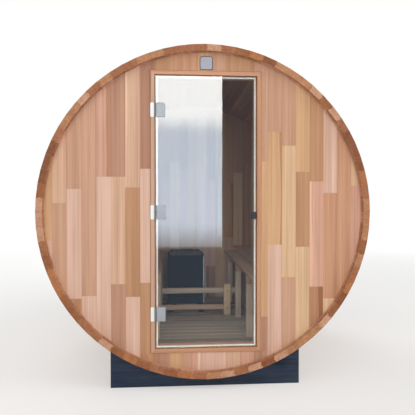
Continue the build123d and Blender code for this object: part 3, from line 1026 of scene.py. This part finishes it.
def knuckleProfile(plan, half):
    # (radius, height) up a knuckle with eased rims
    radius, ease = plan["knuckle"], plan["knuckleEase"]
    return [(radius - ease, -half), (radius, -half + ease), (radius, half - ease),
            (radius - ease, half)]


def makeHinges(plan):
    # Each leaf is a screwed plate with two outer knuckles. Each clamp is a plate before the glass,
    # a bolted one behind it, and the middle knuckle with its tongue
    leaves, pins, clamps, barrels = [], [], [], []
    axisX, axisY, _ = frame["joints"][0]["pos_m"]
    face, glassBack = doorFrame["front"], glassHigh.y
    leafFront, clampFront = face - plan["leafDepth"], face - plan["clampDepth"]
    corner, ease, middle = plan["corner"], plan["ease"], plan["middle"] / 2
    sides, screwSides, lift = plan["knuckleSides"], plan["screwSides"], plan["screwLift"]
    for place in ("top", "middle", "bottom"):
        low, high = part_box("hinge_leaf_" + place)
        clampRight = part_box("hinge_clamp_" + place)[1].x
        mid, half = (low.z + high.z) / 2, (high.z - low.z) / 2
        leafRight = axisX - plan["knuckle"]
        leaves.append(uprightPlate(low.x, leafRight + plan["leafLap"], mid, half, leafFront, face,
                                   corner, ease))
        screws = [((low.x + leafRight) / 2, leafFront, mid + up) for up in (-lift, 0, lift)]
        leaves.append(turned(screws, (0, 1, 0), screwHead(plan["screwRadius"]), screwSides))
        tall = half - middle - plan["knuckleGap"]
        for side in (-1, 1):
            centre = (axisX, axisY, mid + side * (half - tall / 2))
            pins.append(turned(centre, (0, 0, 1), knuckleProfile(plan, tall / 2), sides))
        left = glassLow.x + plan["frontInset"]
        clamps.append(uprightPlate(left, clampRight, mid, half, clampFront, face, corner, ease))
        barrels.append(uprightPlate(axisX, left + plan["tongueLap"], mid, middle, clampFront,
                                    face - plan["tongueLift"], plan["tongueCorner"], ease))
        barrels.append(turned((axisX, axisY, mid), (0, 0, 1), knuckleProfile(plan, middle), sides))
        left, back = glassLow.x + plan["backInset"], glassBack + plan["backDepth"]
        clamps.append(uprightPlate(left, clampRight, mid, half, glassBack, back, corner, ease))
        bolts = [(left + plan["boltInset"], back, mid + up) for up in (-lift, lift)]
        clamps.append(turned(bolts, (0, -1, 0), screwHead(plan["boltRadius"]), screwSides))
    return joined(*leaves), joined(*pins), joined(*clamps), joined(*barrels)


leafShape, pinShape, clampShape, barrelShape = makeHinges(hinge)
putPiece("hingeLeaves", leafShape, "cabin", "whiteLacquer",
         ["hinge_leaf_top", "hinge_leaf_middle", "hinge_leaf_bottom"])
# The knuckles' darker steel is partly painted shade, for the dark line between leaf and clamp
putPiece("hingePins", pinShape, "cabin", "barrelSteel")
putPiece("hingeClamps", clampShape, "door", "satinSteel",
         ["hinge_clamp_top", "hinge_clamp_middle", "hinge_clamp_bottom"])
putPiece("hingeBarrels", barrelShape, "door", "barrelSteel")


plaque = {
    "corner": 0.014,        # radius of the upper corners
    "cornerPoints": 7,
    "ease": 0.0006,
    "rim": 0.004,           # width of the raised rim, and how far it stands up
    "rise": 0.0012,
    "rimEase": 0.0008,
    "rimFoot": 0.0003,
    "nail": [(0.0032, 0.0004), (0.0030, -0.0004), (0.0022, -0.0009), (0.0010, -0.0012)],
    "nailInset": 0.009,
    "nailSides": 16,
}


def makePlaque(plan):
    # A bare plate with rounded upper corners, two nails, and a low raised rim whose four lines of
    # points follow the outline drawn in step by step
    low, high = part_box("plaque")
    cut = plan["corner"]
    upper = high.z - cut
    right = quarterRound(high.x - cut, upper, cut, 0, plan["cornerPoints"])
    left = quarterRound(low.x + cut, upper, cut, math.pi / 2, plan["cornerPoints"])
    outline = np.concatenate([[(high.x, low.z)], right, left, [(low.x, low.z)]])
    face = low.y + plan["rise"]
    plate = slabs(outline, face, high.y, 1, plan["ease"])
    places = [(side * (high.x - plan["nailInset"]), face, (low.z + high.z) / 2) for side in (-1, 1)]
    nails = turned(places, (0, 1, 0), plan["nail"], plan["nailSides"])
    steps = [0, plan["rimEase"], plan["rim"] - plan["rimEase"], plan["rim"]]
    ring = np.stack([drawnIn(outline, step) for step in steps], 1)
    foot = face + plan["rimFoot"]
    points = pointsAt(ring[..., 0], [foot, low.y, low.y, foot], ring[..., 1]).reshape(-1, 3)
    index = np.arange(len(points)).reshape(-1, 4)
    ahead = np.roll(index, -1, axis=0)
    faces = np.stack([index, ahead, np.roll(ahead, -1, 1), np.roll(index, -1, 1)], -1)
    faces = faces.reshape(-1, 4)
    rim = {"points": points, "grain": points, "soak": np.zeros(len(points)), "faces": [faces],
           "tone": [np.full((len(faces), 3), 0.5)], "cut": [np.zeros(len(faces))],
           "sap": [np.zeros((len(faces), 3))]}
    return joined(plate, nails), rim


plaquePlate, plaqueRim = makePlaque(plaque)
putPiece("plaquePlate", plaquePlate, "cabin", "plaqueSteel", ["plaque"])
putPiece("plaqueRim", plaqueRim, "cabin", "darkSteel")


def roundReach(offset):
    # How far the round lining reaches at an offset from the barrel's axis: sqrt(R^2 - offset^2)
    return math.sqrt(liningRadius ** 2 - offset ** 2)


duckboard = {
    "count": 19,
    "pitch": 0.085,
    "width": 0.075,
    "thick": 0.022,
    "ease": 0.003,
    "tones": ["ash", "dun"],
    "bearers": [-0.3, 0, 0.3],
    "bearerWidth": 0.045,
    "bearerReach": 0.81,    # half length
    "bearerEase": 0.0015,
    "bearerTone": "amber",
    "seeds": {"tone": 51, "slat": 52, "bearer": 53},
}


def makeFloor(plan):
    # Slats across the barrel, each as long as the round lining lets its underside be, on bearers
    # whose underside slopes with the lining
    seeds = plan["seeds"]
    under = floorTop - axisHeight - plan["thick"]
    reach = roundReach(under)
    places = (np.arange(plan["count"]) - (plan["count"] - 1) / 2) * plan["pitch"]
    wide = plan["width"] / 2
    low = pointsAt(-reach, places - wide, under + axisHeight)
    high = pointsAt(reach, places + wide, floorTop)
    tones = pickTones(plan["tones"], len(places), seeds["tone"])
    slats = planks(low, high, 0, plan["ease"], tones, seeds["slat"])
    half, end = plan["bearerWidth"] / 2, plan["bearerReach"]
    bearers = []
    for place in plan["bearers"]:
        far = -roundReach(abs(place) + half)
        near = -roundReach(max(abs(place) - half, 0))
        outline = np.array([(place + half, far if place >= 0 else near), (place + half, under),
                            (place - half, under), (place - half, far if place <= 0 else near)])
        bearers.append(slabs(outline + [0, axisHeight], -end, end, 1, plan["bearerEase"],
                             namedTones([plan["bearerTone"]]), seeds["bearer"]))
    return slats, joined(*bearers)


bench = {
    "front": 0.29,          # from the middle of the cabin
    "rows": 6,
    "pitch": 0.095,
    "width": 0.085,
    "thick": 0.028,
    "ease": 0.003,
    "tones": ["oat", "straw", "sand", "oat"],
    "legs": [-0.55, 0.0, 0.55],
    "legWidth": 0.043,
    "legTone": "oat",
    "bearerEase": 0.002,
    "bearerTone": "tan",
    "seeds": {"tone": 61, "right": 62, "left": 63, "leg": 64, "bearer": 67},
}


def makeBenches(plan):
    # Slats along the barrel on bearers that end at the round lining, and square legs under their
    # front
    seeds, front, ease = plan["seeds"], plan["front"], plan["ease"]
    slatLow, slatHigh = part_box("bench_right_slats")
    top = slatHigh.z
    under = top - plan["thick"]
    rows = front + np.arange(plan["rows"]) * plan["pitch"]
    low = pointsAt(rows, slatLow.y, under)
    high = pointsAt(rows + plan["width"], slatHigh.y, top)
    tones = pickTones(plan["tones"], 2 * len(rows), seeds["tone"])
    right = planks(low, high, 1, ease, tones[:len(rows)], seeds["right"])
    flip = np.array([-1, 1, 1])
    left = planks(np.minimum(low * flip, high * flip), np.maximum(low * flip, high * flip), 1,
                  ease, tones[len(rows):], seeds["left"])
    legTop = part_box("bench_legs")[1].z
    upper, lower = under - axisHeight, legTop - axisHeight
    half = plan["legWidth"] / 2
    places = np.array(plan["legs"])
    legs, bearers = [], []
    for side in (-1, 1):
        near, far = sorted((side * front, side * (front + plan["legWidth"])))
        low = pointsAt(near, places - half, floorTop)
        high = pointsAt(far, places + half, legTop)
        legs.append(planks(low, high, 2, ease, namedTones([plan["legTone"]]),
                           seeds["leg"] + side))
        outline = np.array([(side * front, lower), (side * roundReach(lower), lower),
                            (side * roundReach(upper), upper), (side * front, upper)])[::side]
        bearers.append(slabs(outline + [0, axisHeight], places - half, places + half, 1,
                             plan["bearerEase"], namedTones([plan["bearerTone"]]),
                             seeds["bearer"] + side))
    return right, left, joined(*legs), joined(*bearers)


guard = {
    "postWidth": 0.054,
    "topRail": 0.043,
    "lowRail": 0.041,
    "ease": 0.003,
    "postTones": ["oat", "cream"],      # left, right
    "railTones": ["oat", "sand"],       # upper, lower
    "screwRadius": 0.0042,
    "screwSides": 18,
    "seeds": {"post": 72, "rail": 74},
}


def makeGuard(plan):
    # Two posts with two rails on their back, the upper one running on to under the bench, and a
    # screw through the post at each crossing
    low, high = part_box("guard_posts")
    railLow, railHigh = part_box("guard_rails")
    wide, upper, lower = plan["postWidth"], plan["topRail"], plan["lowRail"]
    posts = planks([(low.x, low.y, low.z), (high.x - wide, low.y, low.z)],
                   [(low.x + wide, high.y, high.z), (high.x, high.y, high.z)], 2, plan["ease"],
                   namedTones(plan["postTones"]), plan["seeds"]["post"])
    rails = planks([(railLow.x, railLow.y, railHigh.z - upper), tuple(railLow)],
                   [tuple(railHigh), (high.x, railHigh.y, railLow.z + lower)], 0, plan["ease"],
                   namedTones(plan["railTones"]), plan["seeds"]["rail"])
    places = [(x, low.y, z) for x in (low.x + wide / 2, high.x - wide / 2)
              for z in (railHigh.z - upper / 2, railLow.z + lower / 2)]
    head = screwHead(plan["screwRadius"])
    return posts, rails, turned(places, (0, 1, 0), head, plan["screwSides"])


floorSlats, floorBearers = makeFloor(duckboard)
putPiece("floorSlats", floorSlats, "cabin", "floorWood", ["floor_slats"])
putPiece("floorBearers", floorBearers, "cabin", "floorWood", ["floor_bearers"])
benchRight, benchLeft, benchLegs, benchBearers = makeBenches(bench)
putPiece("benchRightSlats", benchRight, "cabin", "benchWood", ["bench_right_slats"])
putPiece("benchLeftSlats", benchLeft, "cabin", "benchWood", ["bench_left_slats"])
putPiece("benchLegs", benchLegs, "cabin", "benchWood", ["bench_legs"])
putPiece("benchBearers", benchBearers, "cabin", "benchWood", ["bench_bearers"])
guardPosts, guardRails, guardScrews = makeGuard(guard)
putPiece("guardPosts", guardPosts, "cabin", "guardWood", ["guard_posts"])
putPiece("guardRails", guardRails, "cabin", "guardWood", ["guard_rails"])
putPiece("guardScrews", guardScrews, "cabin", "darkSteel")


heater = {
    "corner": 0.008,
    "cornerPoints": 5,
    "ease": 0.0015,
    "trayWall": 0.012,
    "trayDepth": 0.06,
    "footHeight": 0.07,
    "footWidth": 0.04,
    "footInset": 0.004,
    "louvres": [0.024, 0.052, 0.080],   # each louvre's foot over the foot of the case
    "louvreWidth": 0.19,
    "louvreHeight": 0.013,
    "louvreRise": 0.006,
    "louvreEdge": 0.0025,
    "louvreSheet": 0.001,
    "louvreMouth": 0.002,
    "louvreSink": 0.0005,
    "louvreEase": 0.0004,
    "stripWidth": 0.011,                # steel trim up the right edge of the front
    "stripInset": 0.004,
    "stripRise": 0.0012,
    "stripSink": 0.0004,
    "stripEase": 0.0005,
    "lipWidth": 0.168,                  # steel lip under the case
    "lipFront": 0.008,
    "lipBack": 0.004,
    "lipFoot": 0.003,
    "lipTop": 0.002,
    "lipEase": 0.0006,
}


def roundedBox(low, high, corner, points):
    # Counterclockwise rectangle whose corners are quarter circles
    centres = [(high.x - corner, high.y - corner), (low.x + corner, high.y - corner),
               (low.x + corner, low.y + corner), (high.x - corner, low.y + corner)]
    return np.concatenate([quarterRound(x, y, corner, turn * math.pi / 2, points)
                           for turn, (x, y) in enumerate(centres)])


def makeHeater(plan):
    # A folded case with an open tray: its outline is carried up the outside, over the rim drawn in
    # by the wall, and down to the tray's floor. Louvres are wedges on its front, the feet square
    low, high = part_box("heater")
    outline = roundedBox(low, high, plan["corner"], plan["cornerPoints"])
    thick, ease = plan["trayWall"], plan["ease"]
    foot, top = low.z + plan["footHeight"], high.z
    stations = [(ease, foot), (0, foot + ease), (0, top - ease), (ease, top), (thick - ease, top),
                (thick, top - ease), (thick, top - plan["trayDepth"])]
    rings = np.stack([np.column_stack([drawnIn(outline, step), np.full(len(outline), level)])
                      for step, level in stations])[None]
    middle = (low.x + high.x) / 2
    reach = plan["louvreWidth"] / 2
    sunk, out = low.y + plan["louvreSink"], low.y - plan["louvreRise"]
    louvres = []
    for start in plan["louvres"]:
        level = foot + start
        hood = [(sunk, level + plan["louvreHeight"]), (out, level + plan["louvreEdge"]),
                (out, level), (out + plan["louvreSheet"], level),
                (sunk, level + plan["louvreMouth"])]
        louvres.append(slabs(hood, middle - reach, middle + reach, 0, plan["louvreEase"]))
    wide, inset = plan["footWidth"], plan["footInset"]
    corners = [(x, y) for x in (low.x + inset, high.x - inset - wide)
               for y in (low.y + inset, high.y - inset - wide)]
    feet = planks([(x, y, low.z) for x, y in corners],
                  [(x + wide, y + wide, foot + ease) for x, y in corners], 2, ease)
    rim = plan["stripInset"]
    strip = planks((high.x - plan["stripWidth"], low.y - plan["stripRise"], foot + rim),
                   (high.x - ease, low.y + plan["stripSink"], top - rim), 2, plan["stripEase"])
    half = plan["lipWidth"] / 2
    lip = planks((middle - half, low.y - plan["lipFront"], foot - plan["lipFoot"]),
                 (middle + half, low.y + plan["lipBack"], foot + plan["lipTop"]), 0,
                 plan["lipEase"])
    return joined(carried(rings, rings), *louvres, feet), joined(strip, lip)


stones = {
    "rows": 6,
    "columns": 6,
    "layers": 2,
    "size": 0.033,
    "margin": 0.95,             # from the edge of the heap to the outermost centres, times size
    "firstLayer": 0.03,
    "layerStep": 0.033,
    "scatter": (0.004, 0.003),  # how far a stone may lie off its place, flat and upright
    "around": 10,
    "rings": 7,
    "pole": 0.12,               # angle from the pole to the first ring
    "sizes": (0.8, 1.0),
    "squash": (1, 0.95, 0.72),
    "swell": (0.12, 0.08),
    "phase": 6.28,              # p and q are drawn from 0 to this
    "smoothAngle": 70,
    "seed": 81,
}


def makeStones(plan):
    # Rough stones: balls of radius R (1 + s cos(2a + p) + t cos(3b + q)), with a round the ball and
    # b from pole to pole, squashed, on a shuffled grid, and kept inside the CAD's block of stones
    low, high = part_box("heater_stones")
    draw = np.random.default_rng(plan["seed"])
    grid = np.stack(np.meshgrid(np.arange(plan["rows"]), np.arange(plan["columns"]),
                                np.arange(plan["layers"])), -1).reshape(-1, 3).astype(float)
    count, size = len(grid), plan["size"]
    margin, (flat, upright) = plan["margin"] * size, plan["scatter"]
    room = np.array([high.x - low.x, high.y - low.y]) - 2 * margin
    steps = np.array([plan["rows"] - 1, plan["columns"] - 1])
    centre = np.empty((count, 3))
    centre[:, :2] = np.array([low.x, low.y]) + margin + grid[:, :2] / steps * room
    centre[:, :2] += draw.uniform(-flat, flat, (count, 2))
    centre[:, 2] = (low.z + plan["firstLayer"] + grid[:, 2] * plan["layerStep"]
                    + draw.uniform(-upright, upright, count))
    a = (np.arange(plan["around"]) * 2 * math.pi / plan["around"])[None, None]
    b = np.linspace(plan["pole"], math.pi - plan["pole"], plan["rings"])[None, :, None]
    phase = draw.uniform(0, plan["phase"], (count, 2, 1, 1))
    scale = draw.uniform(*plan["sizes"], (count, 3, 1, 1)) * size
    scale = scale * np.array(plan["squash"])[None, :, None, None]
    swell = (1 + plan["swell"][0] * np.cos(2 * a + phase[:, 0])
             + plan["swell"][1] * np.cos(3 * b + phase[:, 1]))
    x = scale[:, 0] * swell * np.sin(b) * np.cos(a)
    y = scale[:, 1] * swell * np.sin(b) * np.sin(a)
    z = scale[:, 2] * swell * np.cos(b)
    points = np.clip(pointsAt(x, y, z) + centre[:, None, None], tuple(low), tuple(high))
    return carried(points, points)


heaterCase, heaterTrim = makeHeater(heater)
putPiece("heaterCase", heaterCase, "cabin", "heaterEnamel", ["heater"])
putPiece("heaterTrim", heaterTrim, "cabin", "satinSteel")
putPiece("heaterStones", makeStones(stones), "cabin", "heaterStone",
         ["heater_stones"], stones["smoothAngle"])


cradle = {"saddle": 1.0003, "ease": 0.003, "steps": 60, "frontSeed": 91, "rearSeed": 93}


def makeCradle(node, plan, seed):
    # A plank on edge: its top follows z = axis - sqrt(R^2 - x^2), its ends and foot are straight,
    # and its rims are drawn in by ease
    low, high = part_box(node)
    reach = np.linspace(high.x, low.x, plan["steps"])
    saddle = axisHeight - np.sqrt(plan["saddle"] ** 2 - reach ** 2)
    outline = np.concatenate([[(low.x, low.z), (high.x, low.z)], pointsAt(reach, saddle)])
    shape = slabs(outline, low.y, high.y, 1, plan["ease"])
    shape["grain"] = shape["points"] + [seed, 0, 0]     # a pattern of its own
    return shape


frontCradle = makeCradle("cradle_front", cradle, cradle["frontSeed"])
rearCradle = makeCradle("cradle_rear", cradle, cradle["rearSeed"])
putPiece("cradleFront", frontCradle, "cabin", "navyStain", ["cradle_front"])
putPiece("cradleRear", rearCradle, "cabin", "navyStain", ["cradle_rear"])
giveFinish(["band_front", "band_rear", "band_bolts"], "bandSteel")


studio = {
    "ambient": 0.24,
    "floorTone": (245, 244, 241),
    "floorReach": 60,
    "floorRoughness": 0.9,
    "floorGloss": 0.1,
    "floorGlow": 0.4,       # share of plain white in the floor where it is nearest
    "fadeFrom": 2.0,        # where the floor starts to turn white, and where it is all white
    "fadeTo": 8.0,
    # Soft lamps: place, what they look at, width and height, power in watts
    "lamps": {
        "keyLamp": ((-1.0, -8.5, 4.8), (0, 0, 1.2), (6.0, 3.0), 143),
        "fillLamp": ((0.6, -8.5, 1.6), (0, 0, 1.0), (6.0, 2.4), 162),
        "topLamp": ((0.3, -3.6, 6.2), (0, -0.6, 0.6), (5.0, 3.0), 75),
        "sideLamp": ((6.0, -2.0, 4.0), (0, 0, 1.0), (4.0, 3.0), 160),
        "leftLamp": ((-6.0, -0.5, 3.5), (0, 0, 1.0), (4.0, 3.0), 90),
        "rearLamp": ((-2.0, 7.0, 5.0), (0, 0, 1.0), (4.0, 3.0), 260),
    },
    # What the glass mirrors: a bright panel, a dark flag on its right and a level one before it
    "panelAway": -9.0,
    "panelAcross": (-0.75, 0.945),
    "panelUp": (0.05, 4.05),
    "panelRadiance": 12.0,
    # Height up the panel as a share of its own, and its tint there
    "panelSteps": [(0.0, (0.10, 0.12, 0.15)), (0.13, (0.38, 0.46, 0.57)),
                   (0.66, (0.40, 0.47, 0.56)), (0.76, (0.86, 0.86, 0.86))],
    "uprightFlag": (4.0, 0.02, 5.05),       # width, foot and top
    "uprightTone": (0.25, 0.29, 0.36),
    "levelFlag": (-3, 4, -2.6, 0.01),       # left, right, near edge and height
    "levelTone": (0.38, 0.45, 0.56),
}


def seenRays(tree):
    # 1 for rays that the camera, a gloss or a glass looks along, 0 for light on the object
    path = addNode(tree, "ShaderNodeLightPath", {}).outputs
    seen = reckon(tree, "ADD", path["Is Camera Ray"], path["Is Glossy Ray"])
    return reckon(tree, "ADD", seen, path["Is Transmission Ray"], hold=True)


def stageSheet(name, corners):
    # A flat sheet that belongs to the stage
    mesh = bpy.data.meshes.new(name)
    mesh.from_pydata(corners, [], [(0, 1, 2, 3)])
    sheet = bpy.data.objects.new(name, mesh)
    bpy.context.scene.collection.objects.link(sheet)
    material, tree, shader = startFinish(name)
    mesh.materials.append(material)
    return sheet, tree, shader


def makeStudio(plan):
    # A pale floor that turns white away from the object, and a white world for what looks past it
    far = plan["floorReach"]
    _, tree, shader = stageSheet("studioFloor", [(-far, -far, 0), (far, -far, 0), (far, far, 0),
                                                 (-far, far, 0)])
    feed(tree, shader, {"Base Color": paint(plan["floorTone"]),
                        "Roughness": plan["floorRoughness"],
                        "Specular IOR Level": plan["floorGloss"]})
    away = addNode(tree, "ShaderNodeVectorMath", {0: placeOn(tree)}, operation="LENGTH")
    fade = spread(tree, away.outputs["Value"], plan["fadeFrom"], plan["fadeTo"],
                  plan["floorGlow"], 1.0)
    white = addNode(tree, "ShaderNodeEmission", {"Color": (1, 1, 1, 1), "Strength": 1.0})
    share = reckon(tree, "MULTIPLY", fade, seenRays(tree))
    endSurface(tree, addNode(tree, "ShaderNodeMixShader", {0: share, 1: shader.outputs[0],
                                                           2: white.outputs[0]}))
    world = bpy.data.worlds.new("studioWorld")
    bpy.context.scene.world = world
    world.use_nodes = True
    tree = world.node_tree
    level = spread(tree, seenRays(tree), 0.0, 1.0, plan["ambient"], 1.0)
    feed(tree, tree.nodes["Background"], {"Color": (1, 1, 1, 1), "Strength": level})


def makeLamp(name, place, target, size, power, mirrored=False):
    # A soft rectangle lamp at place that looks at target, seen in gloss and glass only if mirrored
    lamp = bpy.data.lights.new(name, "AREA")
    lamp.shape = "RECTANGLE"
    lamp.size, lamp.size_y = size
    lamp.energy = power
    holder = bpy.data.objects.new(name, lamp)
    bpy.context.scene.collection.objects.link(holder)
    holder.location = place
    aim = np.array(target, float) - np.array(place, float)
    flat = math.hypot(aim[0], aim[1])
    holder.rotation_euler = (math.atan2(flat, -aim[2]), 0, math.atan2(-aim[0], aim[1]))
    holder.visible_camera = False
    holder.visible_glossy = holder.visible_transmission = mirrored
    return holder


def makePanel(plan):
    # A tall panel before the door, bright at the top and softer towards its foot, which lights
    # nothing and only shows in gloss and glass, and the two flags
    away, (left, right), (foot, top) = plan["panelAway"], plan["panelAcross"], plan["panelUp"]
    across, up, wide, tall = (left + right) / 2, (foot + top) / 2, right - left, top - foot
    panel = makeLamp("doorPanel", (across, away, up), (across, 0, up), (wide, tall),
                     plan["panelRadiance"] * wide * tall * math.pi, mirrored=True)
    panel.visible_diffuse = False
    panel.data.use_nodes = True
    tree = panel.data.node_tree
    spot = addNode(tree, "ShaderNodeNewGeometry", {}).outputs["Parametric"]
    rise = addNode(tree, "ShaderNodeSeparateXYZ", {0: spot}).outputs[1]
    ramp = addNode(tree, "ShaderNodeValToRGB", {0: rise})
    steps = ramp.color_ramp.elements
    while len(steps) < len(plan["panelSteps"]):
        steps.new(0.5)
    for step, (place, tint) in zip(steps, plan["panelSteps"]):
        step.position = place
        step.color = (*tint, 1)
    feed(tree, tree.nodes["Emission"], {"Color": ramp.outputs[0]})
    width, low, high = plan["uprightFlag"]
    upright = [(right, away, low), (right + width, away, low), (right + width, away, high),
               (right, away, high)]
    start, end, near, level = plan["levelFlag"]
    flat = [(start, away, level), (end, away, level), (end, near, level), (start, near, level)]
    for name, corners, tone in (("uprightFlag", upright, plan["uprightTone"]),
                                ("levelFlag", flat, plan["levelTone"])):
        flag, tree, _ = stageSheet(name, corners)
        endSurface(tree, addNode(tree, "ShaderNodeEmission", {"Color": (*tone, 1),
                                                              "Strength": 1.0}))
        flag.visible_camera = flag.visible_diffuse = flag.visible_shadow = False


makeStudio(studio)
makePanel(studio)
for lampName, settings in studio["lamps"].items():
    makeLamp(lampName, *settings)

view = {
    "place": (-0.204, -3.734, axisHeight + 0.074),
    "pitch": 89.1,
    "yaw": -4.2,
    "lens": 41.4,
    "sensor": 36,
    "clip": (0.05, 200),
}
camera = bpy.data.objects.new("camera", bpy.data.cameras.new("camera"))
bpy.context.scene.collection.objects.link(camera)
camera.location = view["place"]
camera.rotation_euler = (math.radians(view["pitch"]), 0, math.radians(view["yaw"]))
camera.data.lens = view["lens"]
camera.data.sensor_width = view["sensor"]
camera.data.clip_start, camera.data.clip_end = view["clip"]
bpy.context.scene.camera = camera
bpy.context.scene.view_settings.view_transform = "Standard"
print("studio and camera made")
